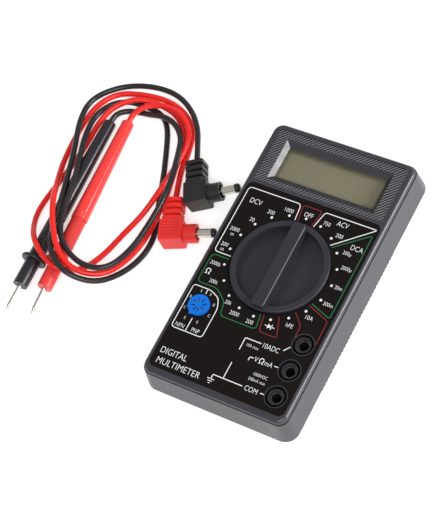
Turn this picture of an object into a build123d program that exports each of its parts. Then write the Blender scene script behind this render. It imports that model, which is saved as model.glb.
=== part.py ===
"""Pocket digital multimeter, lying on its back, with a pair of test leads.

Frame: millimetres. Z = 0 is the back of the case, +Z comes out of the face,
+Y points to the display end and the range dial turns about the Z axis.
Every sub-part is written to parts/NAME.step.
"""
import math
import os

from build123d import *

# ---------------------------------------------------------------- case
CASE_WIDTH = 70.0            # over the parting line
CASE_LENGTH = 126.0
CASE_CORNER = 6.0
PARTING_Z = 9.0              # where the two shells meet
FACE_RISE = 2.2              # from the foot of the raised face to its top
FRONT_DRAFT = 8.0            # degrees, side walls of the front shell
REAR_DRAFT = 26.0            # degrees, side walls of the rear shell
REAR_LIP = 1.0               # upright lip of the rear shell
REAR_STEP = 0.4              # the rear shell stands in from the front shell
SIDE_WALL = 2.0
FACE_WALL = 2.2
BACK_WALL = 2.0
FACE_ROUND = 1.7
BACK_ROUND = 0.8
INNER_CORNER = 1.0           # least corner radius inside a shell
FACE_STEP = 0.35             # small step between the side wall and the face
SHELL_GAP = 0.05             # between the two shells
GRIP_PITCH = 2.0
GRIP_RIB = 0.9
GRIP_HEIGHT = 0.35
GRIP_SPAN = (-36.0, 29.0)
GRIP_FOOT = 1.5              # the ribs end this far above the back
GRIP_CHAMFER = 1.0

# ---------------------------------------------------------------- face
LABEL_MARGIN = 4.0           # from the case side to the label
LABEL_FOOT = 5.0             # from the case foot to the label
LABEL_TOP = 31.2             # upper edge, measured from the dial axis
LABEL_THICKNESS = 0.3
LABEL_POCKET = 0.5
LABEL_CORNER = 2.8
LABEL_PLAY = 0.1
PANEL_LENGTH = 25.5          # patterned field round the display
PANEL_TOP_MARGIN = 4.7       # from the case head to the field
PANEL_POCKET = 0.3
PANEL_MARGIN = 5.1           # from the case side to the field
PANEL_CORNER = 1.8
BEVEL_WIDTH = 50.0
BEVEL_LENGTH = 19.8
OPENING_WIDTH = 45.6
OPENING_LENGTH = 14.4
OPENING_TO_HEAD = 18.1       # from the case head to the middle of the opening

# ---------------------------------------------------------------- display
WINDOW_THICKNESS = 1.2
WINDOW_LAP = 3.6             # how far the window passes the opening
WINDOW_CORNER = 0.8
GLASS_THICKNESS = 2.2
GLASS_LAP = 2.9
GLASS_TO_WINDOW = 0.8
GLASS_CORNER = 0.3
FRAME_TO_WINDOW = 0.1
FRAME_CORNER = 1.0
FRAME_WALL = 1.8
FRAME_PLAY = 0.15
ZEBRA_WIDTH = 2.2
ZEBRA_INSET = 1.0            # from the ends of the glass
ZEBRA_EDGE = 0.3             # from the lower edge of the glass

# ---------------------------------------------------------------- range dial
DIAL_HOLE = 21.5             # radius of the hole in the face
DIAL_PLAY = 0.7
DIAL_RIM = 2.6               # width of the raised ring
DIAL_RIM_HEIGHT = 1.0        # above the face
DIAL_DISH = 3.1              # depth of the dish below the face
DIAL_FLOOR = 1.7
DIAL_ROUND = 0.5
DIAL_INNER_WALL = 1.2        # skirt wall between the hub space and the balls
GRIP_BAR_WIDTH = 6.0
GRIP_BAR_HEIGHT = 3.1        # above the face
GRIP_BAR_MARGIN = 0.9        # from the bar's end to the outside of the ring
GRIP_BAR_CORNER = 1.4
GRIP_BAR_ROUND = 0.8
FLANGE_LAP = 1.5             # hidden flange, wider than the hole
FLANGE_PLAY = 0.4
SKIRT_DEPTH = 4.0
BALL_RADIUS = 1.5
BALL_PLAY = 0.15
BALL_PROUD = 0.2             # the balls' middle stands out from the flange
POCKET_WALL = 0.6            # between the dish and the balls' pockets
SPRING_WIRE = 0.5
SPRING_RADIUS = 0.95
SPRING_TURNS = 3
RANGE_COUNT = 20
NOTCH_DEPTH = 0.7
DETENT_WALL = 2.0
HUB_RADIUS = 3.5
HUB_TO_BOARD = 0.4
BALL_TURNS = (0, 180)        # across the grip bar

# ---------------------------------------------------------------- board
BOARD_THICKNESS = 1.6
BOARD_TO_DIAL = 2.4          # from the board up to the dial's skirt
BOARD_PLAY = 0.5
BOARD_CORNER = 3.0
TAB_MARGIN = 1.2             # board left round the input tubes, beside the battery
TRACK_THICKNESS = 0.1
TRACK_WIDTH = 1.4
TRACK_STEP = 3.0
TRACK_TO_WALL = 2.0          # from the dial's inner wall to the outermost track
TRACK_COUNT = 3
WIPER_PLAY = 0.1
WIPER_SHEET = 0.3
WIPER_WIDTH = 2.4
WIPER_FOOT = (0.5, 1.6)
WIPER_POST = (1.0, 2.0)
WIPER_LAP = 0.4              # the bridge passes the middle of each track
WIPER_TURNS = (40.0, 180.0)  # where each of the two bridges sits, in degrees
BOSS_RADIUS = 2.1
BOSS_PLAY = 0.2
BOSS_TO_END = 0.6            # from the board's end to the upper bosses
FRONT_BOSS_PROUD = 1.0       # the front bosses reach past the board
BOARD_SCREW_RADIUS = 0.9
BOARD_SCREW_HEAD = 1.8
BOARD_SCREW_HEAD_HEIGHT = 1.2
SCREW_BITE = 4.0             # thread above the board
CASE_SCREW_RADIUS = 1.3
CASE_SCREW_HEAD = 2.6
CASE_SCREW_HEAD_HEIGHT = 1.8
CASE_SCREW_PLAY = 0.2
CASE_SCREW_SEAT = 0.6        # the head is sunk this far
CASE_SCREW_SLOT = (4.0, 0.7, 0.9)
CASE_BOSS_RADIUS = 2.9
CASE_BOSS_PLAY = 0.3
CASE_BOSS_GAP = 0.2          # between the front boss and the rear boss
SCREW_TO_SIDE = 6.5
SCREW_Y = -14.0

CHIP_DROP = (5.0, 1.3)       # radius and height of the epoxy drop
CHIP_TO_RING = 1.0
FUSE_LENGTH = 20.0
FUSE_RADIUS = 2.3
FUSE_CAP = (2.6, 5.0)        # radius and length
FUSE_START_Y = 2.0
FUSE_TO_BOARD = 3.6
FUSE_TO_SCREW = 1.5
FUSE_CLIP = (3.1, 3.4, 1.0)  # half width, length, depth below the fuse's middle
FUSE_CLIP_INSET = 0.8
RESISTOR_COUNT = 10
RESISTOR_PITCH = 3.6
RESISTOR_BODY = (1.15, 6.4)  # radius and length
RESISTOR_SPAN = 9.2          # between the two legs
RESISTOR_WIRE = 0.3
RESISTOR_Y = 9.2
RESISTOR_TO_BOARD = 1.5
FILM_CAPACITOR = (7.0, 3.0, 6.5)
FILM_PITCH = 10.0
CAN_CAPACITOR = (2.5, 7.0)
CAN_PITCH = 7.5
CAPACITOR_Y = 21.5
TRIMMER_SIZE = (8.0, 7.0, 4.5)
TRIMMER_KNOB = (2.2, 0.8)
TRIMMER_Y = -8.5
SHUNT_DIAMETER = 1.4
SHUNT_DROP = 4.0
SHUNT_GAP = 1.6

# ---------------------------------------------------------------- sockets
JACK_PLAY = 0.05             # between a plug's pin and the tube
JACK_WALL = 0.45
JACK_FIT = 0.05              # between the tube and its sleeve
JACK_SLEEVE = 0.85           # wall of the moulded sleeve
JACK_GROOVE = 1.05           # width of the groove round the sleeve
JACK_LIP = 0.35              # width of the lip round the groove
JACK_WELL_WALL = 1.0
JACK_SUNK = 0.5              # the sleeve ends below the face
JACK_TUBE_SUNK = 1.9         # the tube ends below the face
JACK_FLANGE = (0.7, 0.8)     # width and thickness
JACK_FLOOR = 1.2
JACK_FLOOR_GAP = 0.2
JACK_LENGTH = 14.8
JACK_TO_SIDE = 10.4
JACK_PITCH = 11.85
JACK_LOWEST = 12.0           # from the case foot to the lowest jack
SOCKET_RADIUS = 4.6
SOCKET_BODY = 3.4
SOCKET_PLAY = 0.15
SOCKET_RISE = 1.0
SOCKET_TO_SIDE = 11.7
SOCKET_Y = -27.5
SOCKET_SLOTS = 8
SOCKET_SLOT = (1.7, 0.7, 2.0)
SOCKET_PITCH_RADIUS = 2.3
SOCKET_KEY = ((4.5, -0.9), (5.35, 0.0), (4.5, 0.9), (0.0, 2.0), (0.0, -2.0))
SOCKET_KEY_TURN = 248.0
CONTACT_PLAY = 0.15
CONTACT_THICKNESS = 0.3
CONTACT_HEIGHT = 1.2

# ---------------------------------------------------------------- battery
BATTERY = (45.0, 26.0, 17.5)  # length, width, height as it lies
BATTERY_HEADROOM = 0.9       # up to the underside of the face
BATTERY_WALL = 1.2
BATTERY_WALL_GAP = 0.4       # between that wall and the board
BATTERY_ROUND = 2.0
BATTERY_PLAY = 0.6
TERMINAL_HEIGHT = 2.2
TERMINAL_RADII = (2.8, 3.6)  # stud and socket
TERMINAL_PITCH = 12.7
SNAP_THICKNESS = 3.2
SNAP_GAP = 0.1
SNAP_MARGIN = 6.0
WIRE_RADIUS = 0.6
WIRE_TO_BOARD = 0.1
WIRE_DROPS = ((1.5, 0.0), (4.5, 5.0))   # below the snap's middle, and further along
WIRE_RUNS = (3.5, 5.0, 1.5)  # along the snap, up to the board, along the board
WIRE_SHIFTS = (4.0, 12.0)

# ---------------------------------------------------------------- test leads
CORD_DIAMETER = 2.6
PLUG_BLOCK = (10.6, 10.0, 10.0)      # along the pin, along the cord, thick
PLUG_BACK = 4.4                      # cord axis to the back of the block
PLUG_HEAD = 5.3                      # pin axis to the cord side of the block
PLUG_ROUND = 0.7
RELIEF_SIZE = 8.1
RELIEF_LENGTH = 10.9
RELIEF_ROUND = 1.2
RELIEF_SLOTS = 3
RELIEF_SLOT = 1.1                    # width of each slot
RELIEF_SPINE = 1.5                   # half width of the rib left between the slots
RELIEF_CORE = 2.4                    # half thickness left under the slots
RELIEF_END = 2.4                     # from the end to the first slot
COLLAR_RADIUS = 4.15
COLLAR_LENGTH = 5.4
COLLAR_GAP = 1.0                     # round the pin
COLLAR_DEPTH = 3.0
PIN_RADIUS = 2.0                     # a standard 4 mm plug
PIN_ROOT = 2.0                       # inside the block
PIN_REACH = 18.0                     # cord axis to the end of the metal
PIN_TIP = 2.2
PIN_TIP_ROUND = 1.2
HANDLE_REAR_RADIUS = 2.8
HANDLE_JOINT_RADIUS = 3.75
HANDLE_ROUND = 0.8
GRIP_RADIUS = 3.4
GUARD_RADIUS = 5.75
GUARD_THICKNESS = 1.5
GUARD_ROUND = 0.6
NOSE_RADIUS = 3.3
NOSE_LENGTH = 13.0
GRIP_LENGTH = 22.0
HANDLE_LENGTH = 74.2                 # rear face to the middle of the guard
NEEDLE_RADIUS = 1.0
NEEDLE_LENGTH = 13.2
NEEDLE_POINT = 3.0
NEEDLE_TIP = 0.15
NEEDLE_SHANK = 6.0                   # inside the nose

# Heading and roll of each plug, and heading of each probe, in degrees.
BLACK_PLUG = (28.0, 8.0)
RED_PLUG = (22.4, 0.0)
BLACK_PROBE = 3.2
RED_PROBE = 5.2

# Route of each cord from its plug to its probe, at the middle of the cord.
BLACK_ROUTE = [
    (-65.8, 38.1, 5.6), (-70.0, 46.0, 5.2), (-75.0, 55.0, 4.2), (-83.5, 63.3, 2.4),
    (-95.0, 69.0, 1.3), (-109.0, 68.6, 1.3), (-122.4, 63.4, 1.3), (-131.2, 52.4, 3.0),
    (-129.4, 40.0, 4.7), (-123.3, 26.0, 5.6), (-117.6, 12.0, 8.2), (-112.6, -1.0, 10.3),
    (-110.2, -12.0, 10.2), (-105.0, -22.4, 12.7), (-98.3, -29.0, 13.4), (-89.5, -31.6, 10.4),
    (-80.0, -28.6, 5.0), (-72.8, -19.5, 2.0), (-68.3, -8.5, 1.3), (-68.6, 3.0, 1.3),
    (-74.4, 15.0, 1.3), (-78.8, 27.5, 1.3), (-84.6, 41.0, 1.3), (-90.0, 52.0, 1.3),
    (-96.2, 57.2, 1.3), (-105.0, 58.2, 1.3), (-114.0, 58.0, 1.3), (-121.2, 54.2, 1.5),
    (-125.2, 45.5, 2.4), (-122.6, 33.5, 4.8), (-117.0, 21.0, 7.8), (-111.9, 9.0, 10.1),
    (-109.3, -3.0, 10.4), (-105.8, -14.6, 10.5), (-97.0, -21.9, 10.7), (-87.0, -25.2, 10.2),
    (-76.5, -22.6, 9.2), (-71.0, -10.5, 8.8), (-69.4, 3.0, 9.6), (-68.6, 15.5, 10.7),
    (-71.5, 28.0, 9.2), (-75.3, 39.0, 7.6), (-79.5, 47.8, 4.6), (-86.0, 53.6, 4.0),
    (-93.0, 54.9, 4.4), (-100.0, 54.5, 2.5), (-106.5, 54.4, 1.3), (-112.2, 53.0, 1.8),
    (-116.2, 49.1, 2.7), (-115.9, 44.6, 2.85),
]
RED_ROUTE = [
    (-66.3, 18.7, 5.0), (-69.2, 25.8, 4.2), (-73.0, 34.5, 2.0), (-74.6, 44.5, 1.3),
    (-77.5, 54.2, 1.3), (-86.0, 61.4, 1.3), (-97.5, 64.4, 1.3), (-110.5, 63.2, 1.3),
    (-121.5, 59.8, 1.3), (-127.8, 51.0, 1.3), (-129.0, 39.5, 1.3), (-128.2, 28.0, 1.6),
    (-126.0, 17.5, 3.2), (-121.4, 7.5, 6.6), (-115.6, -2.5, 12.0), (-108.5, -13.5, 13.8),
    (-99.5, -24.6, 13.3), (-90.0, -28.5, 8.8), (-78.6, -24.6, 5.6), (-72.8, -14.5, 4.4),
    (-70.2, -3.0, 4.2), (-70.7, 9.5, 4.2), (-72.9, 20.8, 1.9), (-76.0, 32.5, 1.3),
    (-77.8, 43.5, 1.3), (-81.0, 52.3, 1.3), (-89.0, 59.0, 1.3), (-99.5, 61.2, 1.9),
    (-109.5, 59.2, 4.6), (-118.6, 51.4, 4.0), (-121.8, 42.0, 1.8), (-121.6, 31.0, 1.3),
    (-122.6, 19.0, 1.3), (-124.4, 7.0, 1.3), (-125.4, -4.5, 1.8), (-122.0, -13.5, 5.0),
    (-114.8, -21.8, 10.6), (-105.5, -28.4, 11.5), (-96.6, -30.8, 10.1), (-89.3, -25.4, 4.2),
    (-85.0, -14.5, 2.2), (-82.4, -2.5, 1.4), (-78.6, 8.5, 2.0), (-76.2, 18.5, 4.2),
    (-75.2, 30.0, 4.4), (-74.9, 41.0, 4.2), (-77.0, 51.5, 4.1), (-84.6, 58.4, 4.2),
    (-93.5, 60.2, 4.6), (-100.8, 58.2, 4.7), (-105.4, 54.6, 4.6), (-108.2, 51.2, 2.8),
    (-107.8, 47.3, 2.85),
]


# ---------------------------------------------------------------- derived
HALF_WIDTH = CASE_WIDTH / 2
HALF_LENGTH = CASE_LENGTH / 2
DRAFT = math.tan(math.radians(FRONT_DRAFT))
BATTERY_Z = BACK_WALL + BATTERY_PLAY
FACE_UNDER = BATTERY_Z + BATTERY[2] + BATTERY_HEADROOM
FACE_Z = FACE_UNDER + FACE_WALL
SHOULDER_Z = FACE_Z - FACE_RISE
SHOULDER_IN = (SHOULDER_Z - PARTING_Z) * DRAFT
LABEL_Z = FACE_Z - LABEL_POCKET + LABEL_THICKNESS
OPENING_Y = HALF_LENGTH - OPENING_TO_HEAD
WINDOW_Z = FACE_UNDER - WINDOW_THICKNESS
GLASS_Z = WINDOW_Z - GLASS_TO_WINDOW - GLASS_THICKNESS
GLASS_SIZE = (OPENING_WIDTH + 2 * GLASS_LAP, OPENING_LENGTH + 2 * GLASS_LAP)
FRAME_SIZE = tuple(side + 2 * (FRAME_PLAY + FRAME_WALL) for side in GLASS_SIZE)
DIAL_RADIUS = DIAL_HOLE - DIAL_PLAY
FLANGE_RADIUS = DIAL_HOLE + FLANGE_LAP
FLANGE_TOP = FACE_UNDER - FLANGE_PLAY
SKIRT_Z = FLANGE_TOP - SKIRT_DEPTH
DISH_RADIUS = DIAL_RADIUS - DIAL_RIM
DISH_Z = FACE_Z - DIAL_DISH
DISH_UNDER = DISH_Z - DIAL_FLOOR
BOARD_TOP = SKIRT_Z - BOARD_TO_DIAL
BOARD_Z = BOARD_TOP - BOARD_THICKNESS
TRACK_OUTER = DISH_RADIUS - DIAL_INNER_WALL - TRACK_TO_WALL
TRACK_RADII = [TRACK_OUTER - index * TRACK_STEP for index in range(TRACK_COUNT)]
BALL_CENTRE = FLANGE_RADIUS + BALL_PROUD
POCKET_START = DISH_RADIUS + POCKET_WALL
BALL_Z = (FLANGE_TOP + SKIRT_Z) / 2
DETENT_RADIUS = BALL_CENTRE + BALL_RADIUS + BALL_PLAY
DETENT_OUTER = DETENT_RADIUS + NOTCH_DEPTH + DETENT_WALL
JACK_X = HALF_WIDTH - JACK_TO_SIDE
JACK_YS = [JACK_LOWEST - HALF_LENGTH + row * JACK_PITCH for row in (2, 1, 0)]
JACK_BORE = PIN_RADIUS + JACK_PLAY
JACK_OUTER = JACK_BORE + JACK_WALL
SLEEVE_BORE = JACK_OUTER + JACK_FIT
SLEEVE_OUTER = SLEEVE_BORE + JACK_SLEEVE
JACK_WELL = SLEEVE_OUTER + JACK_GROOVE
JACK_RIM = JACK_WELL + JACK_LIP
JACK_TOP = FACE_Z - JACK_TUBE_SUNK
JACK_FLOOR_Z = BOARD_TOP + JACK_FLANGE[1] + JACK_FLOOR_GAP
SOCKET_X = SOCKET_TO_SIDE - HALF_WIDTH
SCREW_X = HALF_WIDTH - SCREW_TO_SIDE
FRONT_BOSS_Z = BOARD_Z - FRONT_BOSS_PROUD
CASE_SCREW_SEAT_Z = CASE_SCREW_SEAT + CASE_SCREW_HEAD_HEIGHT


def front_half(axis_half, z):
    """Half size of the front shell's inside at height z, on a side axis_half wide."""
    return axis_half - SIDE_WALL - (z - PARTING_Z) * DRAFT


BOARD_HALF_X = front_half(HALF_WIDTH, BOARD_TOP) - BOARD_PLAY
BOARD_HALF_Y = front_half(HALF_LENGTH, BOARD_TOP) - BOARD_PLAY
REAR_IN = REAR_STEP + (PARTING_Z - REAR_LIP - BATTERY_Z) * math.tan(math.radians(REAR_DRAFT))
BATTERY_X = -HALF_WIDTH + REAR_IN + SIDE_WALL + BATTERY_PLAY
BATTERY_Y = -HALF_LENGTH + REAR_IN + SIDE_WALL + BATTERY_PLAY
BATTERY_TOP_Y = BATTERY_Y + BATTERY[1]
BATTERY_END_X = BATTERY_X + BATTERY[0]
BOARD_EDGE_Y = BATTERY_TOP_Y + BATTERY_PLAY
TAB_X = JACK_X - JACK_OUTER - TAB_MARGIN
BOSS_X = FRAME_SIZE[0] / 2 + BOSS_RADIUS + BOSS_PLAY
BOSS_YS = (OPENING_Y - OPENING_LENGTH, BOARD_HALF_Y - BOSS_RADIUS - BOSS_TO_END)


# ---------------------------------------------------------------- shapes
def plate(width, length, thickness, corner, x=0.0, y=0.0, z=0.0):
    """Flat plate with round corners; z is its underside."""
    outline = Pos(x, y, z) * RectangleRounded(width, length, corner)
    return extrude(outline, thickness)


def block(x0, x1, y0, y1, z0, z1):
    """Box between two opposite corners."""
    centre = Pos((x0 + x1) / 2, (y0 + y1) / 2, (z0 + z1) / 2)
    return centre * Box(x1 - x0, y1 - y0, z1 - z0)


def rod(radius, z0, z1, x=0.0, y=0.0):
    """Upright cylinder from z0 to z1."""
    return Pos(x, y, (z0 + z1) / 2) * Cylinder(radius, z1 - z0)


def tube(inner, outer, z0, z1, x=0.0, y=0.0):
    """Upright tube."""
    return rod(outer, z0, z1, x, y) - rod(inner, z0 - 1, z1 + 1, x, y)


def lying(radius, start, end):
    """Cylinder between two points."""
    axis = Vector(*end) - Vector(*start)
    return extrude(Plane(start, z_dir=axis) * Circle(radius), axis.length)


def arc_radii(points, share=0.45):
    """Largest even radius at each corner of a route."""
    places = [Vector(*point) for point in points]
    radii = []
    for before, here, after in zip(places, places[1:], places[2:]):
        run_in = here - before
        run_out = after - here
        half_turn = math.radians(run_in.get_angle(run_out)) / 2
        radii.append(share * min(run_in.length, run_out.length) / math.tan(half_turn))
    return radii


def cable(points, diameter):
    """Round cord of straight runs and tangent arcs along a route."""
    path = FilletPolyline(*points, radius=arc_radii(points))
    section = Plane(path @ 0, z_dir=path % 0) * Circle(diameter / 2)
    return sweep(section, path=path), path.length


def drafted(width, length, corner, z0, z1, draft):
    """Case-like solid from z0 to z1 that narrows by the draft angle."""
    outline = Pos(0, 0, z0) * RectangleRounded(width, length, corner)
    direction = (0, 0, math.copysign(1, z1 - z0))
    return extrude(outline, abs(z1 - z0), taper=draft, dir=direction)


# ---------------------------------------------------------------- case
def front_walls(inset, z0, z1):
    """Outside of the front shell, moved inwards, between two heights."""
    shift = 2 * (inset + (z0 - PARTING_Z) * DRAFT)
    corner = max(CASE_CORNER - inset, INNER_CORNER)
    return drafted(CASE_WIDTH - shift, CASE_LENGTH - shift, corner, z0, z1, FRONT_DRAFT)


def raised_face():
    """Slightly stepped plateau that carries the label and the display."""
    shift = 2 * (SHOULDER_IN + FACE_STEP)
    corner = CASE_CORNER - SHOULDER_IN
    face = plate(CASE_WIDTH - shift, CASE_LENGTH - shift, FACE_RISE, corner, z=SHOULDER_Z)
    return fillet(face.edges().group_by(Axis.Z)[-1], FACE_ROUND)


def display_opening():
    """Bevelled mouth of the display, right through the face."""
    top = Pos(0, OPENING_Y, FACE_Z + 0.01) * Rectangle(BEVEL_WIDTH, BEVEL_LENGTH)
    foot = Pos(0, OPENING_Y, FACE_UNDER - 0.01) * Rectangle(OPENING_WIDTH, OPENING_LENGTH)
    return loft([foot, top])


def detent_ring():
    """Notched ring under the face that the dial's two balls click round."""
    ring = tube(DETENT_RADIUS, DETENT_OUTER, SKIRT_Z, FACE_UNDER)
    for index in range(RANGE_COUNT):
        angle = math.radians(90 + index * 360 / RANGE_COUNT)
        x = (DETENT_RADIUS - BALL_RADIUS + NOTCH_DEPTH) * math.cos(angle)
        y = (DETENT_RADIUS - BALL_RADIUS + NOTCH_DEPTH) * math.sin(angle)
        ring -= rod(BALL_RADIUS, SKIRT_Z - 1, FLANGE_TOP, x, y)
    return ring


def board_bosses():
    """Bosses inside the front shell that the circuit board is screwed to."""
    boss = Part()
    for x in (-BOSS_X, BOSS_X):
        for y in BOSS_YS:
            boss += tube(BOARD_SCREW_RADIUS, BOSS_RADIUS, BOARD_TOP, FACE_UNDER, x, y)
    return boss


def case_bosses():
    """Two long bosses that take the screws from the back of the case."""
    bosses = Part()
    for x in (-SCREW_X, SCREW_X):
        bosses += tube(CASE_SCREW_RADIUS, CASE_BOSS_RADIUS, FRONT_BOSS_Z, FACE_UNDER, x, SCREW_Y)
    return bosses


def jack_well(y):
    """Solid and hollow of one input well: boss and lip, then groove, sleeve top and bore."""
    solid = rod(JACK_WELL + JACK_WELL_WALL, JACK_FLOOR_Z, FACE_UNDER, JACK_X, y)
    solid += rod(JACK_RIM, FACE_UNDER, FACE_Z, JACK_X, y)
    hollow = tube(SLEEVE_OUTER, JACK_WELL, JACK_FLOOR_Z + JACK_FLOOR, FACE_Z + 1, JACK_X, y)
    hollow += rod(SLEEVE_OUTER, FACE_Z - JACK_SUNK, FACE_Z + 1, JACK_X, y)
    hollow += rod(SLEEVE_BORE, JACK_FLOOR_Z - 1, FACE_Z + 1, JACK_X, y)
    return solid, hollow


def front_case():
    """Front shell with all its openings, wells and bosses."""
    shell = front_walls(0, PARTING_Z, SHOULDER_Z) + raised_face()
    shell -= front_walls(SIDE_WALL, PARTING_Z - 0.01, FACE_UNDER)
    shell += detent_ring() + board_bosses() + case_bosses()
    label_width, label_length, label_y = label_size(LABEL_PLAY)
    floor_z = FACE_Z - LABEL_POCKET
    shell -= plate(label_width, label_length, 2 * FACE_WALL, LABEL_CORNER, y=label_y, z=floor_z)
    field_y = HALF_LENGTH - PANEL_TOP_MARGIN - PANEL_LENGTH / 2
    field_width = CASE_WIDTH - 2 * PANEL_MARGIN
    field_z = FACE_Z - PANEL_POCKET
    shell -= plate(field_width, PANEL_LENGTH, 2 * FACE_WALL, PANEL_CORNER, y=field_y, z=field_z)
    shell -= display_opening()
    shell -= rod(DIAL_HOLE, FACE_UNDER - 0.1, FACE_Z + 1)
    shell -= rod(SOCKET_BODY + SOCKET_PLAY, FACE_UNDER - 1, FACE_Z + 1, SOCKET_X, SOCKET_Y)
    for y in JACK_YS:
        solid, hollow = jack_well(y)
        shell = shell + solid - hollow
    return shell


def rear_walls(inset, z0):
    """Outside of the rear shell, moved inwards, from just under the joint to z0."""
    top = PARTING_Z - SHELL_GAP
    shift = 2 * (REAR_STEP + inset)
    corner = max(CASE_CORNER - REAR_STEP - inset, 1.0)
    lip_z = PARTING_Z - REAR_LIP
    lip = plate(CASE_WIDTH - shift, CASE_LENGTH - shift, top - lip_z, corner, z=lip_z)
    slope = drafted(CASE_WIDTH - shift, CASE_LENGTH - shift, corner, lip_z, z0, REAR_DRAFT)
    return lip + slope


def grip_ribs():
    """Finger ribs on the two long sides of the rear shell."""
    top = PARTING_Z - REAR_LIP
    draft = math.tan(math.radians(REAR_DRAFT))
    side = HALF_WIDTH - REAR_STEP
    low = side - (top - GRIP_FOOT) * draft
    outline = [(side, top), (side - 1, top), (low - 1, GRIP_FOOT), (low, GRIP_FOOT),
               (low + GRIP_HEIGHT, GRIP_FOOT + GRIP_CHAMFER), (side, top - GRIP_CHAMFER / 2)]
    rib = extrude(make_face(Plane.XZ * Polyline(*outline, close=True)), GRIP_RIB)
    count = int((GRIP_SPAN[1] - GRIP_SPAN[0]) / GRIP_PITCH) + 1
    ribs = Part()
    for turn in (0, 180):
        for index in range(count):
            ribs += Pos(0, GRIP_SPAN[0] + index * GRIP_PITCH, 0) * Rot(0, 0, turn) * rib
    return ribs


def rear_cover():
    """Rear shell with its screw holes, grip ribs and battery wall."""
    outside = rear_walls(0, 0)
    outside = fillet(outside.edges().group_by(Axis.Z)[0], BACK_ROUND)
    cover = outside + grip_ribs()
    cover -= rear_walls(SIDE_WALL - REAR_STEP, BACK_WALL)
    foot = BACK_WALL / 2
    wall_top = BOARD_Z - BATTERY_WALL_GAP
    far = BOARD_EDGE_Y + BATTERY_WALL
    cover += block(BATTERY_X, BATTERY_END_X, BOARD_EDGE_Y, far, foot, wall_top)
    for x in (-SCREW_X, SCREW_X):
        top = FRONT_BOSS_Z - CASE_BOSS_GAP
        cover += rod(CASE_BOSS_RADIUS, foot, top, x, SCREW_Y)
        cover -= rod(CASE_SCREW_RADIUS + CASE_SCREW_PLAY, -1, top + 1, x, SCREW_Y)
        cover -= rod(CASE_SCREW_HEAD + CASE_SCREW_PLAY, -1, CASE_SCREW_SEAT_Z, x, SCREW_Y)
    return cover


def label_size(play=0.0):
    """Width, length and middle of the face label, grown by the play given."""
    foot = LABEL_FOOT - HALF_LENGTH
    width = CASE_WIDTH - 2 * LABEL_MARGIN
    return width + 2 * play, LABEL_TOP - foot + 2 * play, (LABEL_TOP + foot) / 2


def face_label():
    """Printed plate glued into its pocket in the face."""
    width, length, y = label_size()
    label = plate(width, length, LABEL_THICKNESS, LABEL_CORNER, y=y, z=FACE_Z - LABEL_POCKET)
    label -= rod(DIAL_HOLE, 0, FACE_Z + 1)
    label -= rod(SOCKET_BODY + SOCKET_PLAY, 0, FACE_Z + 1, SOCKET_X, SOCKET_Y)
    for jack_y in JACK_YS:
        label -= rod(JACK_RIM + LABEL_PLAY, 0, FACE_Z + 1, JACK_X, jack_y)
    return label


# ---------------------------------------------------------------- display
def display_window():
    """Clear sheet glued behind the opening."""
    width = OPENING_WIDTH + 2 * WINDOW_LAP
    length = OPENING_LENGTH + 2 * WINDOW_LAP
    return plate(width, length, WINDOW_THICKNESS, WINDOW_CORNER, y=OPENING_Y, z=WINDOW_Z)


def lcd_glass():
    """Liquid crystal glass."""
    return plate(*GLASS_SIZE, GLASS_THICKNESS, GLASS_CORNER, y=OPENING_Y, z=GLASS_Z)


def lcd_frame():
    """Moulded frame that holds the glass over the board."""
    height = WINDOW_Z - FRAME_TO_WINDOW - BOARD_TOP
    outer = plate(*FRAME_SIZE, height, FRAME_CORNER, y=OPENING_Y, z=BOARD_TOP)
    hole = [side + 2 * FRAME_PLAY for side in GLASS_SIZE]
    return outer - plate(*hole, 2 * height, GLASS_CORNER, y=OPENING_Y, z=BOARD_TOP - 1)


def zebra_strip():
    """Striped rubber connector between the glass and the board."""
    y = OPENING_Y - GLASS_SIZE[1] / 2 + ZEBRA_EDGE
    half = GLASS_SIZE[0] / 2 - ZEBRA_INSET
    return block(-half, half, y, y + ZEBRA_WIDTH, BOARD_TOP, GLASS_Z)


# ---------------------------------------------------------------- range dial


def range_dial():
    """Dial: raised ring, dish, grip bar, hidden flange and hub."""
    rim_top = FACE_Z + DIAL_RIM_HEIGHT
    dial = rod(DIAL_RADIUS, FLANGE_TOP - FLANGE_PLAY, rim_top)
    dial = fillet(dial.edges().group_by(Axis.Z)[-1], DIAL_ROUND)
    dial += rod(FLANGE_RADIUS, SKIRT_Z, FLANGE_TOP)
    dial -= rod(DISH_RADIUS, DISH_Z, rim_top + 1)
    dial -= rod(DISH_RADIUS - DIAL_INNER_WALL, SKIRT_Z - 1, DISH_UNDER)
    dial += rod(HUB_RADIUS, BOARD_TOP + HUB_TO_BOARD, DISH_Z)
    half = DIAL_RADIUS - GRIP_BAR_MARGIN
    bar_height = GRIP_BAR_HEIGHT + DIAL_DISH
    bar = plate(GRIP_BAR_WIDTH, 2 * half, bar_height, GRIP_BAR_CORNER, z=DISH_Z)
    dial += fillet(bar.edges().group_by(Axis.Z)[-1], GRIP_BAR_ROUND)
    for turn in BALL_TURNS:
        bore = lying(BALL_RADIUS + BALL_PLAY, (POCKET_START, 0, BALL_Z),
                     (FLANGE_RADIUS + 1, 0, BALL_Z))
        dial -= Rot(0, 0, turn) * bore
    return dial + tube(DISH_RADIUS - DIAL_INNER_WALL, DISH_RADIUS, SKIRT_Z, DISH_UNDER)


def detent_balls():
    """Two steel balls in the dial's radial pockets."""
    ball = Pos(BALL_CENTRE, 0, BALL_Z) * Sphere(BALL_RADIUS)
    return [Rot(0, 0, turn) * ball for turn in BALL_TURNS]


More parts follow.
